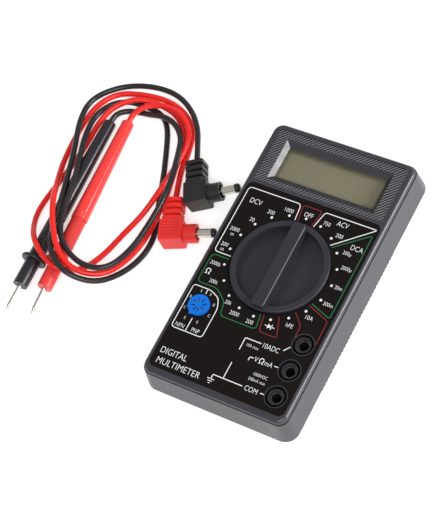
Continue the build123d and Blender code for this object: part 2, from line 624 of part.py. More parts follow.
def detent_springs():
    """Coil spring behind each ball, seated on its pocket's floor."""
    start = POCKET_START + SPRING_WIRE / 2
    length = BALL_CENTRE - BALL_RADIUS - POCKET_START - SPRING_WIRE
    coil = Helix(pitch=length / SPRING_TURNS, height=length, radius=SPRING_RADIUS)
    wire = Plane(coil @ 0, z_dir=coil % 0) * Circle(SPRING_WIRE / 2)
    spring = sweep(wire, path=coil, is_frenet=True)
    place = Pos(start, 0, BALL_Z) * Rot(0, 90, 0)
    return [Rot(0, 0, turn) * place * spring for turn in BALL_TURNS]


def contact_wipers():
    """Sprung metal bridges that the dial carries over the tracks."""
    wipers = []
    foot_z = BOARD_TOP + TRACK_THICKNESS + WIPER_PLAY
    sheet_z = (foot_z + DISH_UNDER) / 2
    half_width = WIPER_WIDTH / 2
    for turn, outer, inner in zip(WIPER_TURNS, TRACK_RADII, TRACK_RADII[1:]):
        start = inner - WIPER_LAP
        end = outer + WIPER_LAP
        bridge = block(start, end, -half_width, half_width, sheet_z, sheet_z + WIPER_SHEET)
        middle = (inner + outer) / 2
        half_post, half_deep = WIPER_POST[0] / 2, WIPER_POST[1] / 2
        bridge += block(middle - half_post, middle + half_post, -half_deep, half_deep,
                        sheet_z, DISH_UNDER)
        length, depth = WIPER_FOOT
        for x in (start, end - length):
            bridge += block(x, x + length, -depth / 2, depth / 2, foot_z, sheet_z + WIPER_SHEET)
        wipers.append(Rot(0, 0, turn) * bridge)
    return wipers


# ---------------------------------------------------------------- board
def circuit_board():
    """L-shaped circuit board with its holes."""
    low, high = BOARD_Z - 1, BOARD_TOP + 1
    board = plate(2 * BOARD_HALF_X, 2 * BOARD_HALF_Y, BOARD_THICKNESS, BOARD_CORNER, z=BOARD_Z)
    board -= block(-CASE_WIDTH, TAB_X, -CASE_LENGTH, BOARD_EDGE_Y, low, high)
    for y in JACK_YS:
        board -= rod(JACK_OUTER, low, high, JACK_X, y)
    for x in (-SCREW_X, SCREW_X):
        board -= rod(CASE_BOSS_RADIUS + CASE_BOSS_PLAY, low, high, x, SCREW_Y)
    for x in (-BOSS_X, BOSS_X):
        for y in BOSS_YS:
            board -= rod(BOARD_SCREW_RADIUS, low, high, x, y)
    return board


def switch_tracks():
    """Rings of copper track that the wipers run on."""
    z = BOARD_TOP
    half = TRACK_WIDTH / 2
    return [tube(radius - half, radius + half, z, z + TRACK_THICKNESS) for radius in TRACK_RADII]


def chip_blob():
    """Epoxy drop over the bare chip, under the board between the dial and the display."""
    radius, height = CHIP_DROP
    ball_radius = (radius**2 + height**2) / (2 * height)
    y = DETENT_OUTER + CHIP_TO_RING + radius
    ball = Pos(0, y, BOARD_Z + ball_radius - height) * Sphere(ball_radius)
    return ball & rod(radius + 1, BOARD_Z - height - 1, BOARD_Z, 0, y)


def fuse_parts():
    """Glass tube, its two caps and the clips, under the right of the board."""
    x = SCREW_X - FUSE_TO_SCREW
    z = BOARD_Z - FUSE_TO_BOARD
    cap_radius, cap = FUSE_CAP
    half_width, clip_length, below = FUSE_CLIP
    start, end = FUSE_START_Y, FUSE_START_Y + FUSE_LENGTH
    glass = lying(FUSE_RADIUS, (x, start + cap, z), (x, end - cap, z))
    caps = []
    clips = []
    for y in (start, end - cap):
        caps.append(lying(cap_radius, (x, y, z), (x, y + cap, z)))
        y0 = y + FUSE_CLIP_INSET
        y1 = y0 + clip_length
        clip = block(x - half_width, x + half_width, y0, y1, z - below, BOARD_Z)
        clip -= lying(cap_radius, (x, y0 - 1, z), (x, y1 + 1, z))
        clip -= block(x - cap_radius, x + cap_radius, y0 - 1, y1 + 1, z - below - 1, z)
        clips.append(clip)
    return glass, caps, clips


def resistors():
    """Row of axial resistors under the board, each with its two legs."""
    z = BOARD_Z - RESISTOR_TO_BOARD
    radius, length = RESISTOR_BODY
    near, far = RESISTOR_Y - RESISTOR_SPAN / 2, RESISTOR_Y + RESISTOR_SPAN / 2
    first = -(RESISTOR_COUNT - 1) * RESISTOR_PITCH / 2
    parts = []
    for index in range(RESISTOR_COUNT):
        x = first + RESISTOR_PITCH * index
        body = lying(radius, (x, RESISTOR_Y - length / 2, z), (x, RESISTOR_Y + length / 2, z))
        body += lying(RESISTOR_WIRE, (x, near, z), (x, far, z))
        for y in (near, far):
            body += rod(RESISTOR_WIRE, z, BOARD_Z, x, y)
        parts.append(body)
    return parts


def capacitors():
    """Film and electrolytic capacitors under the board."""
    length, width, height = FILM_CAPACITOR
    y0, y1 = CAPACITOR_Y - width / 2, CAPACITOR_Y + width / 2
    parts = []
    for x in (-FILM_PITCH - length / 2, -length / 2):
        parts.append(block(x - length / 2, x + length / 2, y0, y1, BOARD_Z - height, BOARD_Z))
    radius, height = CAN_CAPACITOR
    for x in (CAN_PITCH, 2 * CAN_PITCH):
        parts.append(rod(radius, BOARD_Z - height, BOARD_Z, x, CAPACITOR_Y))
    return parts


def trimmer():
    """Adjusting potentiometer under the board."""
    length, width, height = TRIMMER_SIZE
    radius, rise = TRIMMER_KNOB
    y0, y1 = TRIMMER_Y - width / 2, TRIMMER_Y + width / 2
    body = block(-length / 2, length / 2, y0, y1, BOARD_Z - height, BOARD_Z)
    return body + rod(radius, BOARD_Z - height - rise, BOARD_Z - height, 0, TRIMMER_Y)


def shunt_wire():
    """Thick bent wire between the lowest and highest sockets, under the board."""
    x = JACK_X + JACK_OUTER + SHUNT_GAP
    low = BOARD_Z - SHUNT_DROP
    y0, y1 = JACK_YS[2] + 1.0, JACK_YS[0] - 1.0
    route = [(x, y0, BOARD_Z), (x, y0, low), (x, y1, low), (x, y1, BOARD_Z)]
    return cable(route, SHUNT_DIAMETER)[0]


# ---------------------------------------------------------------- sockets
def input_jack(y):
    """Plated tube that takes a 4 mm plug, with a collar over the board."""
    width, thickness = JACK_FLANGE
    jack = rod(JACK_OUTER, JACK_TOP - JACK_LENGTH, JACK_TOP, JACK_X, y)
    jack += rod(JACK_OUTER + width, BOARD_TOP, BOARD_TOP + thickness, JACK_X, y)
    return jack - rod(JACK_BORE, 0, FACE_Z + 1, JACK_X, y)


def slot_place(index):
    """Turn and offset of one contact slot of the transistor socket."""
    turn = (index + 0.5) * 360 / SOCKET_SLOTS
    return Pos(SOCKET_X, SOCKET_Y, 0) * Rot(0, 0, turn) * Pos(SOCKET_PITCH_RADIUS, 0, 0)


def transistor_socket():
    """Round socket with eight radial slots and a pointed key."""
    top = LABEL_Z + SOCKET_RISE
    head = Circle(SOCKET_RADIUS) + Polygon(*SOCKET_KEY, align=None)
    place = Pos(SOCKET_X, SOCKET_Y, LABEL_Z) * Rot(0, 0, SOCKET_KEY_TURN)
    socket = extrude(place * head, SOCKET_RISE)
    socket += rod(SOCKET_BODY, BOARD_TOP, LABEL_Z, SOCKET_X, SOCKET_Y)
    length, width, depth = SOCKET_SLOT
    slot = block(-length / 2, length / 2, -width / 2, width / 2, top - depth, top + 1)
    for index in range(SOCKET_SLOTS):
        socket -= slot_place(index) * slot
    return socket


def socket_contacts():
    """Flat spring contact in the floor of each slot."""
    floor = LABEL_Z + SOCKET_RISE - SOCKET_SLOT[2]
    half = SOCKET_SLOT[0] / 2 - CONTACT_PLAY
    thin = CONTACT_THICKNESS / 2
    contact = block(-half, half, -thin, thin, floor, floor + CONTACT_HEIGHT)
    return [slot_place(index) * contact for index in range(SOCKET_SLOTS)]


# ---------------------------------------------------------------- battery
def battery():
    """Nine-volt battery, lying along the foot of the case."""
    length, width, height = BATTERY
    y1, z1 = BATTERY_Y + width, BATTERY_Z + height
    body = block(BATTERY_X, BATTERY_X + length, BATTERY_Y, y1, BATTERY_Z, z1)
    return fillet(body.edges().filter_by(Axis.X), BATTERY_ROUND)


def terminal_places():
    """Middle of each battery terminal, on the end face."""
    z = BATTERY_Z + BATTERY[2] / 2
    middle = BATTERY_Y + BATTERY[1] / 2
    half = TERMINAL_PITCH / 2
    return ((BATTERY_END_X, middle - half, z), (BATTERY_END_X, middle + half, z))


def battery_terminals():
    """Stud and socket terminal of the battery."""
    return [lying(radius, (x, y, z), (x + TERMINAL_HEIGHT, y, z))
            for radius, (x, y, z) in zip(TERMINAL_RADII, terminal_places())]


def battery_snap():
    """Snap connector over the two terminals."""
    (x, y0, z), (_, y1, _) = terminal_places()
    low, high = y0 - SNAP_MARGIN, y1 + SNAP_MARGIN
    snap = block(x + SNAP_GAP, x + SNAP_THICKNESS, low, high, z - SNAP_MARGIN, z + SNAP_MARGIN)
    for radius, (_, y, _) in zip(TERMINAL_RADII, terminal_places()):
        snap -= lying(radius, (x, y, z), (x + TERMINAL_HEIGHT, y, z))
    return snap


def battery_wires():
    """Red and black wire from the snap up to the edge of the board."""
    _, (x, y, z) = terminal_places()
    start_x = x + SNAP_THICKNESS / 2 + SNAP_GAP
    start_y = y + SNAP_MARGIN
    board_z = BOARD_Z - WIRE_RADIUS - WIRE_TO_BOARD
    wires = []
    for drop, reach in WIRE_DROPS:
        route = [(start_x, start_y, z - drop)]
        along = start_y + reach
        route.append((start_x, along + WIRE_RUNS[0], z - drop))
        along += WIRE_RUNS[0] + WIRE_RUNS[1]
        route.append((start_x - WIRE_SHIFTS[0], along, board_z))
        route.append((start_x - WIRE_SHIFTS[1], along + WIRE_RUNS[2], board_z))
        wires.append(cable(route, 2 * WIRE_RADIUS)[0])
    return wires


# ---------------------------------------------------------------- screws
def case_screws():
    """Two screws that close the case from the back."""
    low = CASE_SCREW_SEAT_Z - CASE_SCREW_HEAD_HEIGHT
    length, width, depth = (CASE_SCREW_SLOT[0] / 2, CASE_SCREW_SLOT[1] / 2, CASE_SCREW_SLOT[2])
    screws = []
    for x in (-SCREW_X, SCREW_X):
        head = rod(CASE_SCREW_HEAD, low, CASE_SCREW_SEAT_Z, x, SCREW_Y)
        for half_x, half_y in ((length, width), (width, length)):
            head -= block(x - half_x, x + half_x, SCREW_Y - half_y, SCREW_Y + half_y,
                          low - 1, low + depth)
        shank = rod(CASE_SCREW_RADIUS, CASE_SCREW_SEAT_Z, BOARD_TOP + SCREW_BITE, x, SCREW_Y)
        screws.append(head + shank)
    return screws


def board_screws():
    """Small screws that hold the board to the front shell."""
    screws = []
    low = BOARD_Z - BOARD_SCREW_HEAD_HEIGHT
    for x in (-BOSS_X, BOSS_X):
        for y in BOSS_YS:
            head = rod(BOARD_SCREW_HEAD, low, BOARD_Z, x, y)
            screws.append(head + rod(BOARD_SCREW_RADIUS, BOARD_Z, BOARD_TOP + SCREW_BITE, x, y))
    return screws


# ---------------------------------------------------------------- test leads
def relief_slots():
    """Slots that leave the strain relief a spine, with a full-width row in the middle."""
    half = RELIEF_SIZE / 2
    out = half + 1
    pitch = RELIEF_LENGTH / (RELIEF_SLOTS + 0.6)
    slots = Part()
    for index in range(RELIEF_SLOTS):
        y = PLUG_HEAD + RELIEF_LENGTH - RELIEF_END - index * pitch
        y0, y1 = y - RELIEF_SLOT / 2, y + RELIEF_SLOT / 2
        side = block(RELIEF_SPINE, out, y0, y1, -out, out)
        flat = block(-out, out, y0, y1, RELIEF_CORE, out)
        for turn in (0, 180):
            slots += Rot(0, turn, 0) * side
            slots += Rot(0, turn, 0) * flat
    return slots


def plug_parts():
    """Right-angle plug: pin along +X, cord along +Y, pin axis at the origin."""
    width, length, thick = PLUG_BLOCK
    front = width - PLUG_BACK
    body = block(-PLUG_BACK, front, PLUG_HEAD - length, PLUG_HEAD, -thick / 2, thick / 2)
    body = fillet(body.edges(), PLUG_ROUND)
    half = RELIEF_SIZE / 2
    relief = block(-half, half, PLUG_HEAD - 1, PLUG_HEAD + RELIEF_LENGTH, -half, half)
    body += fillet(relief.edges().filter_by(Axis.Y), RELIEF_ROUND)
    body -= relief_slots()
    tip = front + COLLAR_LENGTH
    body += lying(COLLAR_RADIUS, (front - PLUG_ROUND, 0, 0), (tip, 0, 0))
    body -= lying(PIN_RADIUS + COLLAR_GAP, (tip - COLLAR_DEPTH, 0, 0), (tip + 1, 0, 0))
    root = (front - PIN_ROOT, 0, 0)
    body -= lying(PIN_RADIUS, root, (tip, 0, 0))
    pin = lying(PIN_RADIUS, root, (PIN_REACH, 0, 0))
    cap = lying(PIN_RADIUS, (PIN_REACH, 0, 0), (PIN_REACH + PIN_TIP, 0, 0))
    cap = fillet(cap.edges().group_by(Axis.X)[-1], PIN_TIP_ROUND)
    return body, pin, cap


def probe_length(start, length, radius):
    """Cylinder along a probe, from start, measured from its rear face."""
    return extrude(Plane.XZ.offset(start) * Circle(radius), length)


def probe_parts():
    """Probe lying along -Y: rear face at the origin, needle at the far end."""
    guard = HANDLE_LENGTH
    joint = guard - GRIP_LENGTH
    front = guard + NOSE_LENGTH
    barrel = loft([Plane.XZ * Circle(HANDLE_REAR_RADIUS),
                   Plane.XZ.offset(joint) * Circle(HANDLE_JOINT_RADIUS)])
    barrel = fillet(barrel.edges().group_by(Axis.Y)[-1], HANDLE_ROUND)
    disc = probe_length(guard - GUARD_THICKNESS / 2, GUARD_THICKNESS, GUARD_RADIUS)
    grip = probe_length(joint, GRIP_LENGTH, GRIP_RADIUS)
    grip += fillet(disc.edges().filter_by(GeomType.CIRCLE), GUARD_ROUND)
    grip += probe_length(guard, NOSE_LENGTH, NOSE_RADIUS)
    grip -= probe_length(front - NEEDLE_SHANK, NEEDLE_SHANK + 1, NEEDLE_RADIUS)
    point_start = front + NEEDLE_LENGTH - NEEDLE_POINT
    needle = probe_length(front - NEEDLE_SHANK, NEEDLE_SHANK + NEEDLE_LENGTH - NEEDLE_POINT, NEEDLE_RADIUS)
    needle += loft([Plane.XZ.offset(point_start) * Circle(NEEDLE_RADIUS),
                    Plane.XZ.offset(point_start + NEEDLE_POINT) * Circle(NEEDLE_TIP)])
    return barrel, grip, needle


def test_lead(colour, route, plug_pose, probe_heading):
    """Every piece of one test lead, laid out along its route."""
    heading, roll = plug_pose
    plug_place = Pos(*route[0]) * Rot(0, 0, heading) * Rot(0, -roll, 0)
    plug_place = plug_place * Pos(0, -PLUG_HEAD - RELIEF_LENGTH, 0)
    pitch = math.degrees(math.asin((GUARD_RADIUS - HANDLE_REAR_RADIUS) / HANDLE_LENGTH))
    probe_place = Pos(*route[-1]) * Rot(0, 0, probe_heading) * Rot(-pitch, 0, 0)
    body, pin, cap = [plug_place * shape for shape in plug_parts()]
    barrel, grip, needle = [probe_place * shape for shape in probe_parts()]
    cord, length = cable(route, CORD_DIAMETER)
    radii = arc_radii(route)
    section = math.pi * (CORD_DIAMETER / 2) ** 2
    print(f"{colour} cord: {length:.1f} mm long, radii {[round(radius, 1) for radius in radii]}")
    print(f"{colour} cord: volume {cord.volume:.1f}, section times length {section * length:.1f}")
    return {
        f"plug_body_{colour}": body,
        f"plug_pin_{colour}": pin,
        f"plug_tip_{colour}": cap,
        f"cord_{colour}": cord,
        f"probe_barrel_{colour}": barrel,
        f"probe_grip_{colour}": grip,
        f"probe_needle_{colour}": needle,
    }


# ---------------------------------------------------------------- assembly
def all_nodes():
    """Every sub-part by name; a list is a group of separate solids."""
    fuse_glass, fuse_caps, fuse_clips = fuse_parts()
    red_wire, black_wire = battery_wires()
    nodes = {
        "front_case": front_case(),
        "rear_cover": rear_cover(),
        "face_label": face_label(),
        "display_window": display_window(),
        "lcd_glass": lcd_glass(),
        "lcd_frame": lcd_frame(),
        "zebra_strip": zebra_strip(),
        "range_dial": range_dial(),
        "detent_balls": detent_balls(),
        "detent_springs": detent_springs(),
        "contact_wipers": contact_wipers(),
        "circuit_board": circuit_board(),
        "switch_tracks": switch_tracks(),
        "chip_blob": chip_blob(),
        "fuse_glass": fuse_glass,
        "fuse_caps": fuse_caps,
        "fuse_clips": fuse_clips,
        "resistors": resistors(),
        "capacitors": capacitors(),
        "trimmer": trimmer(),
        "shunt_wire": shunt_wire(),
        "input_jack_10a": input_jack(JACK_YS[0]),
        "input_jack_volts": input_jack(JACK_YS[1]),
        "input_jack_common": input_jack(JACK_YS[2]),
        "transistor_socket": transistor_socket(),
        "socket_contacts": socket_contacts(),
        "battery": battery(),
        "battery_terminals": battery_terminals(),
        "battery_snap": battery_snap(),
        "battery_wire_red": red_wire,
        "battery_wire_black": black_wire,
        "case_screws": case_screws(),
        "board_screws": board_screws(),
    }
    nodes.update(test_lead("black", BLACK_ROUTE, BLACK_PLUG, BLACK_PROBE))
    nodes.update(test_lead("red", RED_ROUTE, RED_PLUG, RED_PROBE))
    return nodes


os.makedirs("parts", exist_ok=True)
for name, shape in all_nodes().items():
    if isinstance(shape, list):
        shape = Compound(children=shape)
    export_step(shape, f"parts/{name}.step")
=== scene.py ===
"""Looks of a pocket digital multimeter and its two loose test leads.

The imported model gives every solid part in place. This script dresses those
parts, prints the face, lays the two cords and sets the table, camera and light.
Lengths in the classes are in millimetres and become metres through MM.
"""
import logging
import math
from dataclasses import dataclass, field
from enum import Enum

import bmesh
import bpy
from mathutils import Matrix, Vector


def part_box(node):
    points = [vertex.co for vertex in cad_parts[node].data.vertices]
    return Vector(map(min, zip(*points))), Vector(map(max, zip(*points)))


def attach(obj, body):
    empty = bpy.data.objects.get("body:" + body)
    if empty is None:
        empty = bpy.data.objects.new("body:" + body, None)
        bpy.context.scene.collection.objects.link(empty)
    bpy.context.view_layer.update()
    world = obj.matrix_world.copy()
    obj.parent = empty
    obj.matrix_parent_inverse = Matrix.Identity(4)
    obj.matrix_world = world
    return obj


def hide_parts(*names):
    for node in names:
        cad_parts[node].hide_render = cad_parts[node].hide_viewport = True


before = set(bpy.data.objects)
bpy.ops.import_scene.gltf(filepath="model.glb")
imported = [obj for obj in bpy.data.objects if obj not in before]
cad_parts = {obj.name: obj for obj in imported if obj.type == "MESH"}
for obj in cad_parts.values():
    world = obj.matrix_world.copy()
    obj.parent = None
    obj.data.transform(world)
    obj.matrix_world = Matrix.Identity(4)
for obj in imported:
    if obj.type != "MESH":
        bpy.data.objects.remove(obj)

LOG = logging.getLogger("meter")
MM = 0.001
Colour = tuple[float, float, float]
Point2 = tuple[float, float]
Point3 = tuple[float, float, float]
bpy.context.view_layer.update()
CAPITAL = 0.729         # height of a capital in the plain font at size 1
PRINT_LIFT = 0.03       # ink above the label
CORNER_STEPS = 6        # straight bits in a printed line's round corner
DOT_SIDES = 20
EDGE_HIGHLIGHT_REACH = 0.35       # how far the painted edge highlight reaches from an edge
CLOUD = 9.0             # size of the mottling in moulded plastic


def srgb(red: int, green: int, blue: int) -> Colour:
    """Linear colour of an 8-bit sRGB colour.

    Args:
        red: Red, 0 to 255.
        green: Green, 0 to 255.
        blue: Blue, 0 to 255.

    Returns:
        The same colour in linear light.
    """
    parts = [value / 255 for value in (red, green, blue)]
    return tuple(v / 12.92 if v <= 0.04045 else ((v + 0.055) / 1.055) ** 2.4 for v in parts)


def scaled(colour: Colour, share: float) -> Colour:
    """A colour made lighter or darker by a share."""
    return tuple(channel * share for channel in colour)


# ------------------------------------------------------------------ shader tools
class Shade:
    """One number that varies over a surface; arithmetic adds Math nodes."""

    def __init__(self, paint: "Paint", socket: bpy.types.NodeSocket) -> None:
        """Keep the socket and the paint whose tree it is in."""
        self.paint = paint
        self.socket = socket

    def maths(self, operation: str, *values: "Shade | float") -> "Shade":
        """A Math node of these values.

        Args:
            operation: The Math node's operation.
            *values: Its inputs, in order.

        Returns:
            The node's result.
        """
        inputs = dict(enumerate(values))
        return self.paint.shade("ShaderNodeMath", {"operation": operation}, inputs)

    def __add__(self, other: "Shade | float") -> "Shade":
        """Sum."""
        return self.maths("ADD", self, other)

    def __radd__(self, other: float) -> "Shade":
        """Sum with a number first."""
        return self.maths("ADD", other, self)

    def __sub__(self, other: "Shade | float") -> "Shade":
        """Difference."""
        return self.maths("SUBTRACT", self, other)

    def __rsub__(self, other: float) -> "Shade":
        """Difference with a number first."""
        return self.maths("SUBTRACT", other, self)

    def __mul__(self, other: "Shade | float") -> "Shade":
        """Product."""
        return self.maths("MULTIPLY", self, other)

    def __rmul__(self, other: float) -> "Shade":
        """Product with a number first."""
        return self.maths("MULTIPLY", other, self)

    def sine(self) -> "Shade":
        """Sine, of radians."""
        return self.maths("SINE", self)

    def size(self) -> "Shade":
        """Size without its sign."""
        return self.maths("ABSOLUTE", self)

    def above(self, edge: float, soft: float) -> "Shade":
        """Mask that is 1 above an edge.

        Args:
            edge: Where the mask is a half.
            soft: How far each side of it the mask takes to change.

        Returns:
            The mask, 0 to 1.
        """
        settings = {"interpolation_type": "SMOOTHSTEP"}
        inputs = {"Value": self, "From Min": edge - soft, "From Max": edge + soft}
        return self.paint.shade("ShaderNodeMapRange", settings, inputs)

    def below(self, edge: float, soft: float) -> "Shade":
        """Mask that is 1 below an edge."""
        return 1 - self.above(edge, soft)

    def between(self, low: float, high: float, soft: float) -> "Shade":
        """Mask that is 1 between two edges."""
        return self.above(low, soft) * self.below(high, soft)


class Paint:
    """Node tree of one material, with the ways its nodes are added."""

    def __init__(self, name: str) -> None:
        """Start an empty material.

        Args:
            name: The finish's name.
        """
        self.material = bpy.data.materials.new(name)
        self.material.use_nodes = True
        self.tree = self.material.node_tree
        self.tree.nodes.clear()
        self.place = self.node("ShaderNodeTexCoord").outputs["Object"]

    def node(self, kind: str, settings: dict | None = None,
             inputs: dict | None = None) -> bpy.types.Node:
        """Add one node.

        Args:
            kind: The node's type.
            settings: Its properties, set first; "stops" are a ramp's stops.
            inputs: Values or links of its sockets, by name or number.

        Returns:
            The node.
        """
        made = self.tree.nodes.new(kind)
        for key, value in (settings or {}).items():
            if key == "stops":
                self._stops(made.color_ramp, value)
            else:
                setattr(made, key, value)
        for key, value in (inputs or {}).items():
            socket = made.inputs[key]
            if isinstance(value, Shade):
                self.tree.links.new(value.socket, socket)
            elif isinstance(value, bpy.types.NodeSocket):
                self.tree.links.new(value, socket)
            elif socket.type == "RGBA" and len(value) == 3:
                socket.default_value = (*value, 1.0)
            else:
                socket.default_value = value
        return made

    @staticmethod
    def _stops(ramp: bpy.types.ColorRamp, stops: list[tuple[float, Colour]]) -> None:
        """Give a colour ramp its stops.

        Args:
            ramp: The ramp.
            stops: Position and colour of each stop.
        """
        while len(ramp.elements) < len(stops):
            ramp.elements.new(1.0)
        for element, (position, colour) in zip(ramp.elements, stops):
            element.position = position
            element.color = (*colour, 1.0)

    def shade(self, kind: str, settings: dict | None = None, inputs: dict | None = None,
              output: int | str = 0) -> Shade:
        """Add one node and take a number from it.

        Returns:
            The number that the output gives.
        """
        return Shade(self, self.node(kind, settings, inputs).outputs[output])

    def along(self, direction: Point3, origin: Point3 = (0.0, 0.0, 0.0)) -> Shade:
        """Distance along a direction, in millimetres.

        Args:
            direction: Unit vector.
            origin: Where the distance is 0, in millimetres.

        Returns:
            The distance at each point of the surface.
        """
        start = sum(a * b for a, b in zip(direction, origin))
        dot = self.node("ShaderNodeVectorMath", {"operation": "DOT_PRODUCT"},
                        {0: self.place, 1: direction}).outputs["Value"]
        return Shade(self, dot) * (1 / MM) - start

    def noise(self, size: float, detail: float = 3.0, stretch: Point3 = (1.0, 1.0, 1.0)) -> Shade:
        """Cloudy noise, about 0.5 on average.

        Args:
            size: Size of a cloud, in millimetres.
            detail: Finer layers.
            stretch: Scale along X, Y and Z.

        Returns:
            The noise.
        """
        place = self.node("ShaderNodeVectorMath", {"operation": "MULTIPLY"},
                          {0: self.place, 1: stretch}).outputs["Vector"]
        inputs = {"Vector": place, "Scale": 1 / (size * MM), "Detail": detail}
        return self.shade("ShaderNodeTexNoise", {}, inputs)

    def edges(self, radius: float) -> Shade:
        """Mask of the sharp edges and corners of a part.

        Args:
            radius: Reach of the mask, in millimetres.

        Returns:
            The mask, 0 to 1.
        """
        rounded = self.node("ShaderNodeBevel", {"samples": 4}, {"Radius": radius * MM}).outputs[0]
        plain = self.node("ShaderNodeNewGeometry").outputs["Normal"]
        same = self.node("ShaderNodeVectorMath", {"operation": "DOT_PRODUCT"}, {0: rounded, 1: plain})
        return Shade(self, same.outputs["Value"]).below(0.93, 0.06)

    def facing(self, direction: Point3) -> Shade:
        """How squarely the surface faces a direction.

        Args:
            direction: Unit vector.

        Returns:
            -1 to 1, where 1 is square on.
        """
        normal = self.node("ShaderNodeNewGeometry").outputs["Normal"]
        dot = self.node("ShaderNodeVectorMath", {"operation": "DOT_PRODUCT"}, {0: normal, 1: direction})
        return Shade(self, dot.outputs["Value"])

    def mix(self, mask: Shade | float, first: Colour | bpy.types.NodeSocket,
            second: Colour | bpy.types.NodeSocket) -> bpy.types.NodeSocket:
        """Blend of two colours.

        Args:
            mask: Share of the second colour, 0 to 1.
            first: Colour where the mask is 0.
            second: Colour where the mask is 1.

        Returns:
            The blended colour.
        """
        made = self.tree.nodes.new("ShaderNodeMix")
        made.data_type = "RGBA"
        for index, value in ((0, mask), (6, first), (7, second)):
            socket = made.inputs[index]
            if isinstance(value, Shade):
                self.tree.links.new(value.socket, socket)
            elif isinstance(value, bpy.types.NodeSocket):
                self.tree.links.new(value, socket)
            else:
                socket.default_value = (*value, 1.0) if index else value
        return made.outputs[2]

    def bump(self, height: Shade, depth: float) -> bpy.types.NodeSocket:
        """Normal of a surface with fine relief.

        Args:
            height: Relief, 0 to 1.
            depth: What 1 is, in millimetres.

        Returns:
            The normal.
        """
        inputs = {"Height": height, "Distance": depth * MM, "Strength": 1.0}
        return self.node("ShaderNodeBump", {}, inputs).outputs["Normal"]

    def finish(self, **inputs: object) -> bpy.types.Material:
        """Close the tree with a Principled surface.

        Args:
            **inputs: Socket values, with _ for a space in each name.

        Returns:
            The material.
        """
        named = {key.replace("_", " "): value for key, value in inputs.items()}
        surface = self.node("ShaderNodeBsdfPrincipled", {}, named).outputs[0]
        self.node("ShaderNodeOutputMaterial", {}, {"Surface": surface})
        return self.material


# ------------------------------------------------------------------ finishes
@dataclass(frozen=True)
class Moulded:
    """Moulded plastic: fine spark grain, faint mottling and edges painted paler as a highlight."""

    name: str
    colour: Colour
    roughness: float = 0.42
    grain: float = 0.22
    depth: float = 0.012
    mottle: float = 0.12
    # share of the painted highlight on the edges
    edge: float = 0.25
    specular: float = 0.5
    coat: float = 0.0

    def relief(self, paint: Paint) -> Shade:
        """Height of the grain, 0 to 1."""
        return paint.noise(self.grain, 2.0)

    def tone(self, paint: Paint) -> bpy.types.NodeSocket:
        """Colour over the surface, with clouds and edges painted paler as a highlight.

        Args:
            paint: The finish's node tree.

        Returns:
            The colour.
        """
        cloud = paint.noise(CLOUD, 3.0)
        base = paint.mix(cloud, scaled(self.colour, 1 - self.mottle), scaled(self.colour, 1 + self.mottle))
        # pale is a painted highlight where the rounded edges catch the light
        pale = tuple(channel * 1.5 + 0.02 for channel in self.colour)
        return paint.mix(paint.edges(EDGE_HIGHLIGHT_REACH) * self.edge, base, pale)

    def rough(self, paint: Paint, swing: float = 0.16) -> Shade:
        """Roughness, with faint patches that swing about its mean."""
        return self.roughness + (paint.noise(3.0, 4.0) - 0.5) * swing

    def material(self) -> bpy.types.Material:
        """The finish as a material.

        Returns:
            The material.
        """
        paint = Paint(self.name)
        normal = paint.bump(self.relief(paint), self.depth)
        return paint.finish(
            Base_Color=self.tone(paint), Roughness=self.rough(paint), Normal=normal,
            Specular_IOR_Level=self.specular, Coat_Weight=self.coat, Coat_Roughness=0.12)


@dataclass(frozen=True)
class CaseShell(Moulded):
    """Front shell: moulded plastic with a diagonal hatch round the display."""

    field_x: float = 29.9
    field_y: Point2 = (32.8, 58.3)
    bevel_x: float = 25.0
    bevel_y: Point2 = (35.0, 54.8)
    face_z: float = 22.6
    pitch: float = 1.1
    hatch: float = 0.25
    wells: tuple[Point2, ...] = ()
    well_radius: float = 4.45

    def field_mask(self, paint: Paint) -> Shade:
        """Mask of the hatched field, less the display's bevel.

        Args:
            paint: The finish's node tree.

        Returns:
            The mask, 0 to 1.
        """
        x, y, z = (paint.along(axis) for axis in ((1, 0, 0), (0, 1, 0), (0, 0, 1)))
        outer = x.size().below(self.field_x, 0.05) * y.between(*self.field_y, 0.05)
        bevel = x.size().below(self.bevel_x, 0.05) * y.between(*self.bevel_y, 0.05)
        return outer * (1 - bevel) * z.above(self.face_z, 0.05)

    def well_shade_mask(self, paint: Paint) -> Shade:
        """Mask of the painted shade in the round wells that the input sockets stand in.

        Args:
            paint: The finish's node tree.

        Returns:
            The mask, 0 to 1.
        """
        mask = None
        for x, y in self.wells:
            across, up = paint.along((1, 0, 0), (x, 0, 0)), paint.along((0, 1, 0), (0, y, 0))
            # painted shade inside each socket well
            well_shade = (across * across + up * up).below(self.well_radius ** 2, 1.0)
            mask = well_shade if mask is None else mask + well_shade
        return mask

    def ribs(self, paint: Paint) -> Shade:
        """Diagonal ribs, 0 to 1."""
        across = paint.along((math.sqrt(0.5), -math.sqrt(0.5), 0))
        return (across * (2 * math.pi / self.pitch)).sine() * 0.5 + 0.5

    def tone(self, paint: Paint) -> bpy.types.NodeSocket:
        """Plastic, with a painted highlight on the hatch's ribs and painted shade in its grooves and the socket
        wells.

        Args:
            paint: The finish's node tree.

        Returns:
            The colour.
        """
        plain = super().tone(paint)
        mask = self.field_mask(paint)
        ribs = self.ribs(paint)
        # painted highlight on the hatch's ribs, then painted shade in its grooves
        ridged = paint.mix(ribs * mask * 0.8, plain, scaled(self.colour, 2.3))
        hatch_lit_and_shaded = paint.mix((1 - ribs) * mask * 0.8, ridged, scaled(self.colour, 0.3))
        # painted shade in the socket wells
        return paint.mix(self.well_shade_mask(paint) * 0.85, hatch_lit_and_shaded, scaled(self.colour, 0.15))

    def material(self) -> bpy.types.Material:
        """The finish as a material.

        Returns:
            The material.
        """
        paint = Paint(self.name)
        mask = self.field_mask(paint)
        height = self.relief(paint) * self.depth + self.ribs(paint) * mask * self.hatch
        return paint.finish(
            Base_Color=self.tone(paint), Roughness=self.rough(paint), Normal=paint.bump(height, 1.0),
            Specular_IOR_Level=self.specular)


